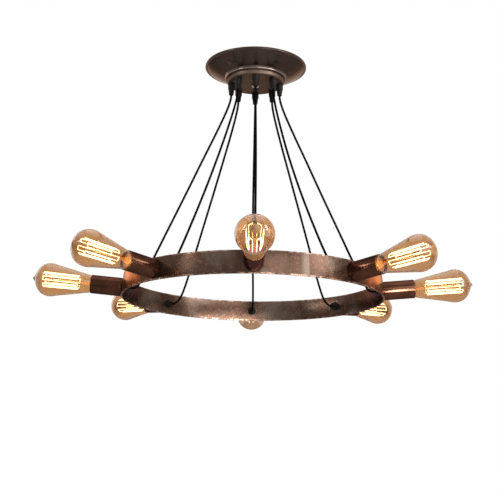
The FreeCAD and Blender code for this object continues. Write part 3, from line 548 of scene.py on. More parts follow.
class Finishes:
    """All finishes of the chandelier, each made once."""

    def __init__(self) -> None:
        """Make the materials."""
        self.canopy = AgedIron(
            "canopy iron", coat=(0.044, 0.029, 0.024), warm=(0.068, 0.045, 0.035),
            rust=(0.070, 0.026, 0.020), rubbed=(0.058, 0.043, 0.037), rust_share=0.14,
            rubbed_share=0.5, roughness=0.18, sheen=(0.80, 0.60, 0.50),
            # painted highlight lines along the lip and the bead, in the colour below
            painted_highlights=((0.0996, 0.0013), (0.0616, 0.0008), (0.0545, 0.0015)),
            polish_and_highlight=(0.30, 0.235, 0.20), relief=0.0003).material()
        self.band = AgedIron(
            "band iron", coat=(0.037, 0.021, 0.014), warm=(0.064, 0.038, 0.027),
            rust=(0.18, 0.078, 0.048), rubbed=(0.120, 0.090, 0.073), rust_share=0.40,
            rubbed_share=0.60, roughness=0.25, seam=True, bloom_scale=170.0,
            # the colour of the band's worn edges with their painted highlight
            polish_and_highlight=(0.34, 0.21, 0.155), relief=0.00012).material()
        self.cup = AgedIron(
            "cup iron", coat=(0.040, 0.016, 0.009), warm=(0.058, 0.022, 0.013),
            rust=(0.15, 0.055, 0.034), rubbed=(0.095, 0.052, 0.040), rust_share=0.25,
            # the last colour is the bulbs' warm glow, painted on the cups' inner walls
            rubbed_share=0.3, roughness=0.14, relief=0.0003, painted_bulb_glow=(0.92, 0.60, 0.26)).material()
        self.pan = AgedIron(
            "pan iron", coat=(0.108, 0.074, 0.056), warm=(0.165, 0.120, 0.091),
            rust=(0.16, 0.070, 0.040), rubbed=(0.135, 0.105, 0.080), rust_share=0.5,
            rubbed_share=0.5, roughness=0.42).material()
        self.copper = PlainCoat(
            "dark copper", (0.60, 0.36, 0.28), (0.45, 0.24, 0.18), 0.16, metal=1.0).material()
        self.zinc = PlainCoat(
            "zinc plate", (0.52, 0.52, 0.50), (0.42, 0.42, 0.41), 0.38, metal=1.0).material()
        self.brass = PlainCoat(
            "brass", (0.72, 0.50, 0.20), (0.58, 0.38, 0.14), 0.26, metal=1.0).material()
        self.fitting = PlainCoat("black fitting", (0.0085, 0.0060, 0.0052), (0.0130, 0.0095, 0.0080),
                                 0.42, shine=0.10).material()
        self.jacket = PlainCoat("cord jacket", (0.0035, 0.0032, 0.0032), (0.0060, 0.0055, 0.0052),
                                0.68, grain=2600.0, relief=0.00010, shine=0.0).material()
        self.phenolic = PlainCoat("phenolic", (0.060, 0.030, 0.014), (0.085, 0.044, 0.022), 0.42,
                                  shine=0.2).material()
        self.seal = PlainCoat(
            "black seal", (0.010, 0.010, 0.012), (0.020, 0.020, 0.022), 0.15).material()
        # The amber glass has a painted dark rim.
        self.amber = TintedGlass("amber glass", (0.70, 0.475, 0.275), (0.66, 0.435, 0.235),
                                 (0.38, 0.195, 0.085), rim_shade=0.88).material()
        # The stem's glass has a painted warm glow, deeper at its root
        self.clear = TintedGlass("stem glass", (0.98, 0.90, 0.76), (0.95, 0.86, 0.70),
                                 (0.80, 0.60, 0.36), glow=(1.0, 0.62, 0.30),
                                 painted_root_glow=(1.0, 0.50, 0.20), strength=0.26).material()
        self.hot = HotWire("hot strand", (1.0, 0.98, 0.86), (1.0, 0.94, 0.74), 7.0).material()
        self.wire = PlainCoat(
            "hook wire", (0.80, 0.58, 0.30), (0.70, 0.48, 0.24), 0.4, metal=1.0).material()


def clear_selection() -> None:
    """Deselect every object."""
    bpy.ops.object.select_all(action="DESELECT")


def dress(piece: Piece, finish: Finish, slot: Slot, body: str, *nodes: str) -> None:
    """Give a finished piece its material, its body and the nodes that it stands for.

    Args:
        piece: The piece, with its place in its mesh.
        finish: Its material.
        slot: The record's slot of that material; not used.
        body: The body that it rides on.
        nodes: The nodes that it replaces.
    """
    piece.data.materials.clear()
    piece.data.materials.append(finish)
    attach(piece, body)
    if nodes:
        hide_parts(*nodes)
    log.info("%s rides on %s", piece.name, body)


def paint(finish: Finish, *nodes: str) -> None:
    """Give nodes that stay as they are their material.

    Args:
        finish: Their material.
        nodes: Their names.
    """
    for name in nodes:
        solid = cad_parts[name]
        solid.data.materials.clear()
        solid.data.materials.append(finish)


def bend(centre: Point, radius: float, start: float, end: float, steps: int) -> list[Point]:
    """Return points on an arc, from one angle to another in degrees."""
    angles = [radians(start + (end - start) * step / steps) for step in range(steps + 1)]
    return [(centre[0] + radius * cos(a), centre[1] + radius * sin(a)) for a in angles]


def placed(corner: Point, marks: Marks) -> list[Point]:
    """Return the points of an outline that are given as offsets from a corner."""
    return [(corner[0] + across, corner[1] + along) for across, along in marks]


@dataclass
class Turned:
    """A turned piece, drawn out ring by ring from a circle about its own Z."""

    name: str
    outline: list[Point]
    segments: int = 96
    looped: bool = False
    smooth_angle: float = 38.0
    merged: float = 0.000005

    def build(self) -> Piece:
        """Turn the piece: closed, smooth and with its faces outwards.

        Returns:
            The piece, still at the origin.
        """
        clear_selection()
        radius, height = self.outline[0]
        bpy.ops.mesh.primitive_circle_add(vertices=self.segments, radius=radius,
                                          location=(0, 0, height))
        piece = bpy.context.object
        piece.name = self.name
        bpy.ops.object.transform_apply(location=True)
        bpy.ops.object.mode_set(mode="EDIT")
        bpy.ops.mesh.select_all(action="SELECT")
        for next_radius, next_height in self.outline[1:] + self.outline[:1] * self.looped:
            rise = (0, 0, next_height - height)
            bpy.ops.mesh.extrude_edges_move(TRANSFORM_OT_translate={"value": rise})
            ratio = next_radius / radius
            bpy.ops.transform.resize(value=(ratio, ratio, 1), center_override=(0, 0, next_height))
            radius, height = next_radius, next_height
        if not self.looped:
            bpy.ops.mesh.edge_face_add()
            self.select_first_ring(piece)
            bpy.ops.mesh.edge_face_add()
        bpy.ops.mesh.select_all(action="SELECT")
        bpy.ops.mesh.remove_doubles(threshold=self.merged)
        bpy.ops.mesh.normals_make_consistent(inside=False)
        bpy.ops.object.mode_set(mode="OBJECT")
        bpy.ops.object.shade_smooth_by_angle(angle=radians(self.smooth_angle))
        return piece

    def select_first_ring(self, piece: Piece) -> None:
        """Select only the circle that the piece was drawn from.

        Args:
            piece: The piece, in edit mode.
        """
        bpy.ops.mesh.select_all(action="DESELECT")
        form = bmesh.from_edit_mesh(piece.data)
        form.verts.ensure_lookup_table()
        for vertex in form.verts[:self.segments]:
            vertex.select = True
        form.select_flush(True)
        bmesh.update_edit_mesh(piece.data)


def copy_at(source: Piece, name: str, where: Matrix) -> Piece:
    """Copy a piece with its own mesh and move it to its place.

    Args:
        source: The piece that is copied.
        name: The copy's name.
        where: The frame that it is moved to.

    Returns:
        The copy.
    """
    piece = source.copy()
    piece.data = source.data.copy()
    piece.data.transform(where)
    piece.name = piece.data.name = name
    bpy.context.scene.collection.objects.link(piece)
    return piece


def copy_round(pattern: Piece, name: str, frame_at: Callable[[int], Matrix], finish: Finish,
               slot: Slot, node: str) -> None:
    """Copy a fixed piece to the eight places, and remove its pattern.

    Args:
        pattern: The piece that is copied.
        name: The copies' name, before their number.
        frame_at: Gives the frame of a place.
        finish: The copies' material.
        slot: The record's slot of that material.
        node: The node that they replace, with {} where it has the copy's number.
    """
    for place in range(PLACES):
        piece = copy_at(pattern, f"{name}_{place + 1}", frame_at(place))
        dress(piece, finish, slot, ROOT_BODY, node.format(place + 1))
    bpy.data.objects.remove(pattern)


def wires(name: str, kind: str, lines: list[list[Vector]], radius: float, roundness: int) -> Piece:
    """Make round wires along lines of points, as one curve object.

    Args:
        name: The object's name.
        kind: The kind of its splines.
        lines: The points of each wire.
        radius: The wires' radius.
        roundness: The resolution of their section.

    Returns:
        The object.
    """
    shape = bpy.data.curves.new(name, "CURVE")
    shape.dimensions = "3D"
    shape.bevel_depth = radius
    shape.bevel_resolution = roundness
    shape.use_fill_caps = True
    for line in lines:
        spline = shape.splines.new(kind)
        spline.points.add(len(line) - 1)
        for control, point in zip(spline.points, line):
            control.co = (*point, 1.0)
    piece = bpy.data.objects.new(name, shape)
    bpy.context.scene.collection.objects.link(piece)
    return piece


@dataclass
class Canopy:
    """The spun canopy with its pan and what it hides."""

    finishes: Finishes
    radius: float = 0.102
    wall: float = 0.0012
    lip_drop: float = 0.005
    lip_round: float = 0.002
    ledge: float = 0.098
    foot: Point = (0.065, 0.021)
    crown: float = 0.0017
    crown_lean: Point = (0.43, 0.9)
    bead_radius: float = 0.0615
    bead_section: float = 0.0034
    bead_drop: float = 0.0254
    mouth: float = 0.052
    rim_marks: Marks = ((-0.0006, 0.0), (0.0, 0.0012))
    cove_marks: Marks = ((0.0014, 0.0), (0.0004, -0.0005), (-0.0006, -0.0002))
    foot_marks: Marks = ((0.0, 0.0), (-0.0022, 0.0009), (-0.0036, 0.0012))
    slope_steps: int = 14
    smoothness: int = 192

    def build(self) -> None:
        """Build the dish and dress what stays."""
        self.build_dish()
        paint(self.finishes.pan, "hub_pan")
        paint(self.finishes.copper, "hub_cap_nut")
        paint(self.finishes.zinc, "ceiling_bracket", "centre_nipple", "bracket_nuts", "grip_nuts")
        paint(self.finishes.brass, "earth_screw", "terminal_screws")
        paint(self.finishes.phenolic, "terminal_rosette")
        paint(self.finishes.jacket, "canopy_leads")

    def slope(self, inward: float) -> list[Point]:
        """Draw the crowned slope from ledge to foot, moved up by a wall.

        Args:
            inward: The wall, or 0 for the outer face.

        Returns:
            The points between the ledge and the foot, as radius and drop.
        """
        points = []
        for step in range(1, self.slope_steps):
            share = step / self.slope_steps
            radius = self.ledge + (self.foot[0] - self.ledge) * share
            drop = self.lip_drop + (self.foot[1] - self.lip_drop) * share
            swell = self.crown * 4.0 * share * (1.0 - share)
            points.append((radius + swell * self.crown_lean[0],
                           drop + swell * self.crown_lean[1] - inward))
        return points

    def build_dish(self) -> None:
        """Spin the dish: rolled lip, fine cove, crowned slope and bead."""
        wall, lip_drop = self.wall, self.lip_drop
        foot, foot_drop = self.foot
        lip_centre = (self.radius - self.lip_round, lip_drop - self.lip_round)
        bead_centre = (self.bead_radius - self.bead_section, self.bead_drop)
        floor = self.bead_drop + self.bead_section
        outside = [
            *placed((self.radius, 0.0), self.rim_marks),
            *bend(lip_centre, self.lip_round, 0, 90, 10),
            *placed((self.ledge, lip_drop), self.cove_marks),
            *self.slope(0.0),
            *placed(self.foot, self.foot_marks),
            *bend(bead_centre, self.bead_section, -38, 90, 12),
        ]
        inside = [
            (self.mouth, floor), (self.mouth, floor - wall),
            (bead_centre[0] - wall, floor - wall), (bead_centre[0] - wall, foot_drop + wall),
            (foot, foot_drop - wall), *reversed(self.slope(wall)), (self.ledge, lip_drop - wall),
            (self.radius - wall, lip_drop - wall), (self.radius - wall, 0.0),
        ]
        outline = [(radius, -drop) for radius, drop in outside + inside]
        dish = Turned("canopy_spun_dish", outline, self.smoothness, looped=True).build()
        dress(dish, self.finishes.canopy, Slot.BRONZE, ROOT_BODY, "canopy_dish")


@dataclass
class CordGrips:
    """The strain relief sleeves under the pan."""

    finishes: Finishes
    collar: float = 0.0070
    collar_height: float = 0.012
    collar_round: float = 0.0012
    sleeve_root: float = 0.0060
    sleeve_end: float = 0.0048
    length: float = 0.024
    spigot: float = 0.004
    spigot_height: float = 0.0075
    bore: float = 0.0024
    ribs: int = 4
    rib_gap: float = 0.0006
    rib_rest: float = 0.0014
    collar_marks: Marks = ((-0.0004, 0.0), (0.0, 0.0004), (0.0, 0.0030), (-0.0004, 0.0034),
                           (-0.0004, 0.0040), (0.0, 0.0044))
    rib_marks: Marks = ((0.0, 0.12), (-0.0001, 0.70), (-0.0005, 0.78), (-0.0005, 0.96))
    mouth_marks: Marks = ((0.0, -0.0006), (-0.0005, 0.0))

    def build(self) -> None:
        """Build one grip and copy it round the pan."""
        under = PAN_DROP + SEAT_GAP
        collar_end = under + self.collar_height
        mouth = PAN_DROP + self.length
        corner = (self.collar - self.collar_round, collar_end - self.collar_round)
        outline = [
            (self.bore, PAN_DROP - self.spigot_height), (self.spigot, PAN_DROP - self.spigot_height),
            (self.spigot, under),
            *placed((self.collar, under), self.collar_marks),
            *bend(corner, self.collar_round, 0, 90, 6),
            (self.sleeve_root, collar_end),
        ]
        rise = (mouth - collar_end - self.rib_rest) / self.ribs
        for rib in range(self.ribs):
            start = collar_end + self.rib_gap + rise * rib
            share = (rib + 0.5) / self.ribs
            radius = self.sleeve_root + (self.sleeve_end - self.sleeve_root) * share
            outline += [(radius + inset, start + rise * along) for inset, along in self.rib_marks]
        outline += placed((self.sleeve_end, mouth), self.mouth_marks)
        outline.append((self.bore, mouth))
        grip = Turned("grip_pattern", outline, 48, looped=True).build()
        copy_round(grip, "cord_sleeve", hanging, self.finishes.fitting, Slot.FITTING, "cord_grips")


# Each cord's route between its grip's mouth and its bush's mouth: the shares of the reach
# outwards and of the way down, and how strongly it follows the cord's own belly and knee there
CORD_ROUTE = [
    (0.012, 0.039, 0.00, 0.0), (0.047, 0.097, 0.15, 0.0), (0.140, 0.216, 0.50, 0.0),
    (0.255, 0.351, 0.85, 0.0), (0.373, 0.484, 1.00, 0.0), (0.492, 0.613, 1.00, 0.1),
    (0.610, 0.738, 0.75, 0.4), (0.720, 0.855, 0.35, 0.8), (0.796, 0.927, 0.10, 1.0),
    (0.843, 0.963, 0.00, 1.0), (0.8745, 0.9805, 0.00, 0.8), (0.907, 0.9915, 0.00, 0.5),
    (0.943, 0.998, 0.00, 0.2),
]

# Belly and knee of the eight cords: how far each hangs outwards of the common route
CORD_SLACK = [
    (0.0, 0.0010), (-0.0090, -0.0030), (0.0090, 0.0100), (0.0050, 0.0012),
    (0.0, 0.0), (0.0030, 0.0005), (0.0090, 0.0100), (-0.0020, 0.0010),
]

# How far the near and the far cord drift sideways, with their belly and with their knee
CORD_DRIFT = {0: (0.0020, 0.0010), 4: (0.0010, -0.0020)}


@dataclass
class Cords:
    """The eight cords that carry the ring."""

    finishes: Finishes
    radius: float = 0.0022
    length: float = 0.4565
    entry: float = 0.0035
    lead_out: float = 0.0035
    grip_length: float = 0.024
    bush_face: float = 0.0154
    roundness: int = 6

    def on_axis(self, depth: float) -> Point:
        """Return the reach and level on a socket's axis, this far inside the ring."""
        return RING_RADIUS - depth * cos(FLARE), -DROP - depth * sin(FLARE)

    def route(self, place: int) -> list[Vector]:
        """Find the points that a cord's line follows.

        Args:
            place: The place's number, from 0 at the near one.

        Returns:
            The points, from inside the grip to inside the bush.
        """
        start, top = GRIP_CIRCLE, -PAN_DROP - self.grip_length
        end, low = self.on_axis(self.bush_face)
        belly, knee = CORD_SLACK[place]
        high_drift, low_drift = CORD_DRIFT.get(place, (0.0, 0.0))
        flat = [(start, top + self.entry, 0.0), (start, top - self.lead_out, 0.0)]
        for out, down, belly_share, knee_share in CORD_ROUTE:
            reach = start + out * (end - start) + belly * belly_share + knee * knee_share
            drift = high_drift * belly_share + low_drift * knee_share
            flat.append((reach, top + down * (low - top), drift))
        for depth in (self.bush_face + self.lead_out, self.bush_face - self.entry):
            flat.append((*self.on_axis(depth), 0.0))
        spin = Matrix.Rotation(azimuth(place), 4, "Z")
        return [spin @ Vector((drift, -reach, level)) for reach, level, drift in flat]

    def build(self) -> None:
        """Lay the eight cords."""
        for place in range(PLACES):
            points = self.route(place)
            piece = wires(f"flex_{place + 1}", "NURBS", [points], self.radius, self.roundness)
            spline = piece.data.splines[0]
            spline.order_u = 3
            spline.use_endpoint_u = True
            dress(piece, self.finishes.jacket, Slot.CORD, ROOT_BODY, f"cord_{place + 1}")


@dataclass
class Ring:
    """The flared band and the cord bushes inside it."""

    finishes: Finishes
    width: float = 0.042
    plate: float = 0.003
    easing: float = 0.0006
    segments: int = 288
    bush: float = 0.0070
    bush_collar: float = 0.008
    bush_neck: float = 0.005
    bush_length: float = 0.012
    bush_round: float = 0.0012
    flange: float = 0.0086
    flange_height: float = 0.0016
    bore: float = 0.0024
    back_marks: Marks = ((-0.0003, 0.0), (0.0, -0.0003))
    front_marks: Marks = ((0.0, 0.0003), (-0.0003, 0.0))
    groove_marks: Marks = ((0.0003, 0.0), (0.0, -0.0003), (0.0, -0.0026), (-0.0003, -0.0029),
                           (-0.0003, -0.0034), (0.0, -0.0037))
    mouth_marks: Marks = ((0.0, 0.0005), (-0.0005, 0.0))

    def bar(self, depth: float, height: float) -> Point:
        """Return a point of the bar's section, by its depth in the plate and its height."""
        radius = RING_RADIUS - height * sin(FLARE) - depth * cos(FLARE)
        return radius, height * cos(FLARE) - depth * sin(FLARE) - DROP

    def build(self) -> None:
        """Build the band and its bushes."""
        half, plate, soft = self.width / 2, self.plate, self.easing
        corners = [((soft, half - soft), 180, 90), ((plate - soft, half - soft), 90, 0),
                   ((plate - soft, soft - half), 0, -90), ((soft, soft - half), -90, -180)]
        outline = [self.bar(*point) for centre, start, end in corners
                   for point in bend(centre, soft, start, end, 4)]
        band = Turned("ring_rolled_bar", outline, self.segments, looped=True).build()
        dress(band, self.finishes.band, Slot.BRONZE, ROOT_BODY, "ring_band")
        self.build_bushes()

    def build_bushes(self) -> None:
        """Build one bush and copy it round the ring."""
        back = -self.plate - SEAT_GAP * 4
        flange = back - self.flange_height
        collar = back - self.bush_collar
        mouth = back - self.bush_length
        corner = (self.bush - self.bush_round, collar + self.bush_round)
        outline = [
            (self.bore, back),
            *placed((self.flange, back), self.back_marks),
            *placed((self.flange, flange), self.front_marks),
            *placed((self.bush, flange), self.groove_marks),
            *bend(corner, self.bush_round, 0, -90, 6),
            (self.bush_neck, collar),
            *placed((self.bush_neck, mouth), self.mouth_marks),
            (self.bore, mouth),
        ]
        bush = Turned("bush_pattern", outline, 48, looped=True).build()
        copy_round(bush, "cord_bush", outward, self.finishes.fitting, Slot.FITTING, "ring_bushes")


@dataclass
class Sockets:
    """The cups on the band's outer face, with the lamp holders inside them."""

    finishes: Finishes
    radius: float = 0.018
    wall: float = 0.0012
    floor: float = 0.0016
    corner: float = 0.0014
    bore: float = 0.0052

    def build(self) -> None:
        """Build one cup, copy it round the ring and dress what stays."""
        start, end = SEAT_GAP, CUP_MOUTH
        lip = self.wall / 2
        outline = [
            (self.bore, start),
            *bend((self.radius - self.corner, start + self.corner), self.corner, -90, 0, 6),
            *bend((self.radius - lip, end - lip), lip, 0, 180, 8),
            (self.radius - self.wall, start + self.floor), (self.bore, start + self.floor),
        ]
        cup = Turned("cup_pattern", outline, 96, looped=True).build()
        copy_round(cup, "cup_shell", outward, self.finishes.cup, Slot.BRONZE, "socket_cup_{}")
        paint(self.finishes.phenolic, "lamp_holders")
        paint(self.finishes.brass, "screw_shells", "centre_contacts")
        paint(self.finishes.zinc, "socket_nipples", "nipple_nuts")
        paint(self.finishes.jacket, "socket_leads")


# Shoulder and pip of the glass: radius, and reach past the cup's mouth
GLASS_SHOULDER = [
    (0.0267, 0.0963), (0.0248, 0.0985), (0.0205, 0.1020),
    (0.0150, 0.1055), (0.0105, 0.1076), (0.0070, 0.1090),
]
GLASS_PIP = [
    (0.0046, 0.1102), (0.0034, 0.1113), (0.0027, 0.1124), (0.0018, 0.1130), (0.0008, 0.1133),
]


@dataclass
class Bulbs:
    """The tall filament bulbs: cap, glass, stem and glowing cage."""

    finishes: Finishes
    base_radius: float = 0.0132
    base_length: float = 0.025
    contact: float = 0.0047
    contact_height: float = 0.0014
    insulator: float = 0.0112
    insulator_height: float = 0.0026
    thread_pitch: float = 0.0036
    thread_depth: float = 0.0009
    thread_turns: int = 5
    thread_steps: int = 8
    thread_start: float = 0.0004
    cap_cone: float = 0.002
    cap_step: float = 0.0008
    top_marks: Marks = ((0.0, -0.0004), (-0.0002, 0.0), (-0.0008, 0.0), (-0.0022, -0.001))
    contact_marks: Marks = ((-0.0008, 0.0002), (0.0, 0.0009))
    insulator_marks: Marks = ((-0.0004, -0.0004),)
    centre: float = 0.0006
    root_marks: Marks = ((0.0, 0.0), (0.0009, 0.0011))
    neck_marks: Marks = ((0.0, 0.0), (0.0010, 0.0020))
    rod_marks: Marks = ((0.0004, 0.0), (0.0, 0.004))
    base_wall: float = 0.0008
    wall: float = 0.0008
    neck: float = 0.0154
    throat: Point = (0.0173, 0.004)
    belly: float = 0.032
    belly_reach: float = 0.079
    cone_reach: float = 0.068
    shoulder_reach: float = 0.094
    reach: float = 0.11338
    stem_rod: float = 0.0026
    stem_flare: float = 0.008
    stem_reach: float = 0.062
    stem_button: float = 0.0036
    cage_foot: Point = (0.013, 0.025)
    cage_head: Point = (0.014, 0.092)
    hook_rise: float = 0.003
    strand: float = 0.0007
    strands: int = 12
    hook: float = 0.00035

    def build(self) -> None:
        """Build each piece once and copy it round the ring."""
        cage = self.wired("cage_pattern", [self.corners()], self.strand)
        patterns = [
            ("lamp_cap", self.cap(), self.finishes.brass, Slot.BRASS, "bulb_base"),
            ("lamp_seal", self.seal(), self.finishes.seal, Slot.BRASS, None),
            ("lamp_glass", self.glass(), self.finishes.amber, Slot.GLASS, "bulb_glass"),
            ("lamp_stem", self.stem(), self.finishes.clear, Slot.FILAMENT, None),
            ("lamp_hooks", self.hooks(), self.finishes.wire, Slot.FILAMENT, None),
            ("lamp_cage", cage, self.finishes.hot, Slot.FILAMENT, "filament"),
        ]
        for place in range(PLACES):
            for stem, pattern, finish, slot, node in patterns:
                piece = copy_at(pattern, f"{stem}_{place + 1}", outward(place))
                nodes = [f"{node}_{place + 1}"] if node else []
                dress(piece, finish, slot, f"bulb_{place + 1}", *nodes)
                piece.visible_glossy = finish is not self.finishes.hot
        for _, pattern, *_ in patterns:
            bpy.data.objects.remove(pattern)

    def cap(self) -> Piece:
        """Turn the screw cap, with the round thread pressed into its sheet.

        Returns:
            The pattern of the cap.
        """
        low = BULB_TIP + self.contact_height + self.insulator_height + self.cap_cone
        top = BULB_TIP + self.base_length
        outline = [(self.insulator, low - self.cap_cone), (self.insulator + self.cap_step, low)]
        for step in range(self.thread_turns * self.thread_steps + 1):
            turned = step / self.thread_steps
            swell = 0.5 - 0.5 * cos(tau * turned)
            radius = self.base_radius - self.thread_depth * (1.0 - swell)
            outline.append((radius, low + self.thread_start + self.thread_pitch * turned))
        outline += placed((self.base_radius, top), self.top_marks)
        outline.append((self.insulator - self.base_wall, low))
        return Turned("cap_pattern", outline, 64, looped=True).build()

    def seal(self) -> Piece:
        """Turn the glass insulator with the contact on its end.

        Returns:
            The pattern of the insulator.
        """
        start = BULB_TIP
        step = start + self.contact_height
        end = step + self.insulator_height
        outline = [
            (self.centre, start), *placed((self.contact, start), self.contact_marks),
            (self.contact, step), *placed((self.insulator, end), self.insulator_marks),
            (self.centre, end),
        ]
        return Turned("seal_pattern", outline, 48).build()

    def glass_outline(self, inset: float) -> list[Point]:
        """Draw the glass's profile from neck to shoulder, moved inwards by a wall.

        Args:
            inset: The wall, or 0 for the outer skin.

        Returns:
            The points from the neck to the shoulder, as radius and height.
        """
        mouth = CUP_MOUTH
        start = BULB_TIP + self.base_length + SEAT_GAP
        belly = self.belly - inset
        ball = mouth + self.belly_reach
        low, high = (degrees(asin((reach - self.belly_reach) / self.belly))
                     for reach in (self.cone_reach, self.shoulder_reach))
        neck = [
            *placed((self.base_radius - inset, start), self.root_marks),
            *placed((self.neck - inset, mouth), self.neck_marks),
            (self.throat[0] - inset, mouth + self.throat[1]),
        ]
        bowl = bend((0.0, ball), belly, low, high, 20)
        cone = [tuple(Vector(neck[-1]).lerp(Vector(bowl[0]), step / 7)) for step in range(1, 7)]
        crown = [(radius - inset * 0.6, mouth + along - inset * 0.8)
                 for radius, along in GLASS_SHOULDER]
        return [*neck, *cone, *bowl, *crown]

    def glass(self) -> Piece:
        """Turn the blown glass: two skins that meet at the neck, and the drawn pip.

        Returns:
            The pattern of the glass.
        """
        outer = self.glass_outline(0.0)
        inner = self.glass_outline(self.wall)
        outer += [(radius, CUP_MOUTH + along) for radius, along in GLASS_PIP]
        outer.append((0.0001, CUP_MOUTH + self.reach))
        inner += [(0.0035, inner[-1][1] + 0.0008), (0.0001, inner[-1][1] + 0.0012)]
        return Turned("glass_pattern", outer[::-1] + inner, 96).build()

    def stem(self) -> Piece:
        """Turn the pressed glass stem.

        Returns:
            The pattern of the stem.
        """
        start = BULB_TIP + self.base_length + SEAT_GAP * 3
        end = CUP_MOUTH + self.stem_reach
        flare = self.base_radius - self.wall - 0.0005
        outline = [
            (0.0004, start), (flare, start), (flare, start + 0.0006), (flare * 0.62, start + 0.0022),
            (flare * 0.40, start + self.stem_flare * 0.6),
            *placed((self.stem_rod, start + self.stem_flare), self.rod_marks),
            (self.stem_rod * 0.8, end - 0.012), (self.stem_rod, end - self.stem_button),
            *bend((0.0, end), self.stem_button, -50, 80, 10),
        ]
        return Turned("stem_pattern", outline, 40).build()

    def corners(self) -> list[Vector]:
        """Find the strand's corners, up and down round the cage.

        Returns:
            The corners, in the order of the strand.
        """
        points = []
        for number in range(self.strands):
            angle = tau * (number + 0.5) / self.strands
            low, high = (Vector((radius * cos(angle), radius * sin(angle), CUP_MOUTH + along))
                         for radius, along in (self.cage_foot, self.cage_head))
            points += [low, high] if number % 2 == 0 else [high, low]
        return points

    def wired(self, name: str, lines: list[list[Vector]], thickness: float) -> Piece:
        """Make round wires along lines of points, as one mesh.

        Args:
            name: The object's name.
            lines: The points of each wire.
            thickness: The wires' radius.

        Returns:
            The mesh object.
        """
        clear_selection()
        piece = wires(name, "POLY", lines, thickness, 2)
        piece.select_set(True)
        bpy.context.view_layer.objects.active = piece
        bpy.ops.object.convert(target="MESH")
        piece = bpy.context.object
        bpy.ops.object.shade_smooth()
        return piece

    def hooks(self) -> Piece:
        """Make the hooks that hold the strand, and the two lead wires.

        Returns:
            The pattern of the hooks.
        """
        corners = self.corners()
        foot = CUP_MOUTH + self.cage_foot[1]
        end = CUP_MOUTH + self.stem_reach
        lines = []
        for first, second in zip(corners[1:-1:2], corners[2::2]):
            middle = (first + second) / 2
            root = Vector((0, 0, end if middle.z > end else foot + self.hook_rise))
            lines.append([root, middle])
        for free_end in (corners[0], corners[-1]):
            lines.append([Vector((0, 0, foot - self.hook_rise)), free_end])
        return self.wired("hook_pattern", lines, self.hook)


def hang(lamp: bpy.types.Light, spot: Spot, target: Spot) -> Piece:
    """Hang a lamp at a spot and aim it at a target.

    Args:
        lamp: The lamp.
        spot: Where it hangs.
        target: What it faces.

    Returns:
        The lamp's object.
    """
    holder = bpy.data.objects.new(lamp.name, lamp)
    holder.location = spot
    holder.rotation_euler = (Vector(target) - Vector(spot)).to_track_quat("-Z", "Y").to_euler()
    bpy.context.scene.collection.objects.link(holder)
    return holder


def keep_to(lamp: Piece, *names: str) -> None:
    """Let a lamp reach only the pieces of these names.

    Args:
        lamp: The lamp's object.
        names: The pieces that it lights.
    """
    reached = bpy.data.collections.new(lamp.name)
    for name in names:
        reached.objects.link(bpy.data.objects[name])
    lamp.light_linking.receiver_collection = reached


@dataclass(frozen=True)
class SoftLamp:
    """A rectangular lamp: where it hangs, what it faces, its size and its power."""

    name: str
    spot: Spot
    target: Spot
    width: float
    height: float
    power: float

    def light(self) -> Piece:
        """Make the lamp and hang it.

        Returns:
            The object.
        """
        lamp = bpy.data.lights.new(self.name, "AREA")
        lamp.shape = "RECTANGLE"
        lamp.size, lamp.size_y = self.width, self.height
        lamp.energy = self.power
        return hang(lamp, self.spot, self.target)


LAMPS = [SoftLamp(*row) for row in (
    ("overhead", (0.0, 0.0, 1.5), (0.0, 0.0, -0.4), 2.0, 2.0, 18.0),
    ("right front", (1.27, -1.51, -0.10), (0.0, 0.0, -0.45), 2.6, 1.35, 40.0),
    ("right key", (1.61, -1.01, 0.52), (0.0, 0.0, -0.25), 0.35, 0.9, 11.0),
    ("left key", (-1.57, -1.06, 0.52), (0.0, 0.0, -0.25), 0.22, 0.9, 6.0),
    ("low strip", (0.60, -1.20, -0.88), (0.05, 0.10, -0.46), 1.5, 0.16, 46.0),
    ("left side", (-1.64, -0.45, -0.35), (0.20, -0.20, -0.46), 0.8, 0.10, 7.0),
    ("left back", (-1.5, 1.6, 0.2), (0.0, 0.0, -0.4), 1.2, 1.2, 6.0),
    ("right cups", (0.52, -1.15, -0.78), (0.29, 0.0, -0.47), 0.30, 0.42, 24.0),
)]

# The lamps of either side that stand in for its bulb's glow, for the side on +X
BULB_SPOT, BULB_TARGET = Vector((0.35, 0.0, -0.40)), Vector((0.235, -0.085, -0.458))
CUP_SPOT, CUP_TARGET = Vector((-0.25, -0.26, -0.43)), Vector((0.205, -0.205, -0.46))


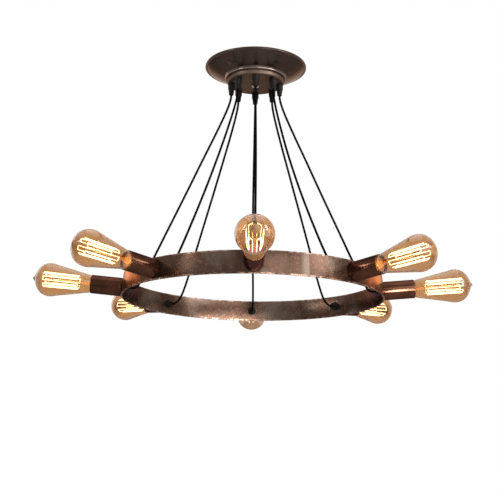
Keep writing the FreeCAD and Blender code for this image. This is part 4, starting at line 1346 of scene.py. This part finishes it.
@dataclass
class Studio:
    """The pale floor, the soft light and the camera of the photograph."""

    floor_level: float = -1.35
    floor_side: float = 9.0
    floor_colours: tuple[Colour, Colour] = ((0.84, 0.84, 0.84), (0.88, 0.88, 0.88))
    floor_glow: Colour = (0.50, 0.50, 0.50)
    seen_world: float = 1.0
    soft_world: float = 0.32
    bulb_colour: Colour = (0.95, 0.62, 0.14)
    bulb_power: float = 2.3
    bulb_size: float = 0.07
    bulb_angle: float = 95.0
    glint_size: Point = (0.12, 0.26)
    glint_power: float = 1.8
    camera_place: Spot = (0.0039, -1.951, -0.833)
    focal_pixels: float = 1030.5
    frame_pixels: float = 500.0
    sensor: float = 36.0
    tilt: float = 13.06
    pan: float = -0.30
    roll: float = 0.84
    ring_turn: float = 0.44

    def build(self) -> None:
        """Set up the stage."""
        self.lay_floor()
        self.light()
        self.shape_world()
        self.set_camera()
        bpy.context.scene.view_settings.view_transform = "Standard"

    def lay_floor(self) -> None:
        """Lay the plain pale floor well below the ring."""
        clear_selection()
        bpy.ops.mesh.primitive_plane_add(size=self.floor_side, location=(0, 0, self.floor_level))
        floor = bpy.context.object
        floor.name = "stage_floor"
        graph = Graph("pale floor")
        haze = graph.noise(2.0, detail=3.0)
        seen = graph.add("ShaderNodeLightPath", output="Is Camera Ray")
        floor.data.materials.append(graph.surface({
            "Base Color": graph.blend(haze, *self.floor_colours),
            "Roughness": 0.8,
            "Emission Color": graph.blend(seen, (0.0, 0.0, 0.0), self.floor_glow),
            "Emission Strength": 1.0,
        }))

    def light(self) -> None:
        """Hang the soft lamps."""
        for lamp in LAMPS:
            lamp.light().visible_transmission = False

    def light_iron(self) -> None:
        """Keep the low lamps to the iron, and cast the side bulbs' warm light on it."""
        cups = [f"cup_shell_{place + 1}" for place in range(PLACES)]
        for name in ("low strip", "left side"):
            keep_to(bpy.data.objects[name], "ring_rolled_bar", *cups)
        keep_to(bpy.data.objects["right cups"], cups[2])
        for side, cup in ((-1, cups[7]), (1, cups[1])):
            mirror = Matrix.Diagonal((side, 1.0, 1.0))
            lamp = bpy.data.lights.new("bulb light", "SPOT")
            lamp.color = self.bulb_colour
            lamp.energy = self.bulb_power
            lamp.shadow_soft_size = self.bulb_size
            lamp.spot_size = radians(self.bulb_angle)
            lamp.spot_blend = 1.0
            glow = hang(lamp, mirror @ BULB_SPOT, mirror @ BULB_TARGET)
            glint = SoftLamp("cup light", mirror @ CUP_SPOT, mirror @ CUP_TARGET,
                             *self.glint_size, self.glint_power).light()
            for holder, name in ((glow, "ring_rolled_bar"), (glint, cup)):
                holder.visible_camera = False
                keep_to(holder, name)

    def shape_world(self) -> None:
        """Show white behind the object, in gloss and through glass, and light it softly."""
        graph = Graph("studio", "World")
        seen = graph.add("ShaderNodeLightPath", output="Is Camera Ray")
        for kind in ("Is Glossy Ray", "Is Transmission Ray"):
            seen = graph.math("MAXIMUM", seen, graph.add("ShaderNodeLightPath", output=kind))
        white, soft = (
            graph.add("ShaderNodeBackground", inputs={"Color": (1.0, 1.0, 1.0), "Strength": strength})
            for strength in (self.seen_world, self.soft_world))
        mix = graph.add("ShaderNodeMixShader", inputs={0: seen, 1: soft, 2: white})
        bpy.context.scene.world = graph.finish(mix)

    def set_camera(self) -> None:
        """Stand the camera where the photograph was taken."""
        tilt, pan, roll = (radians(angle) for angle in (self.tilt, self.pan, self.roll))
        ahead = Vector((sin(pan) * cos(tilt), cos(pan) * cos(tilt), sin(tilt)))
        level = Vector((cos(pan), -sin(pan), 0.0))
        upright = level.cross(ahead)
        right = level * cos(roll) + upright * sin(roll)
        above = upright * cos(roll) - level * sin(roll)
        pose = Matrix.Translation(self.camera_place)
        pose = pose @ Matrix((right, above, -ahead)).transposed().to_4x4()
        eye = bpy.data.cameras.new("camera")
        eye.sensor_width = self.sensor
        eye.lens = self.focal_pixels * self.sensor / self.frame_pixels
        camera = bpy.data.objects.new("camera", eye)
        camera.matrix_world = Matrix.Rotation(-radians(self.ring_turn), 4, "Z") @ pose
        bpy.context.scene.collection.objects.link(camera)
        bpy.context.scene.camera = camera


def main() -> None:
    """Build the chandelier on its frame."""
    logging.basicConfig(level=logging.INFO, format="%(message)s")
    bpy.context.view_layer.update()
    finishes = Finishes()
    studio = Studio()
    studio.build()
    Cords(finishes).build()
    for assembly in (Canopy, CordGrips, Ring, Sockets, Bulbs):
        assembly(finishes).build()
        log.info("%s is done", assembly.__name__)
    studio.light_iron()


if __name__ == "__main__":
    main()
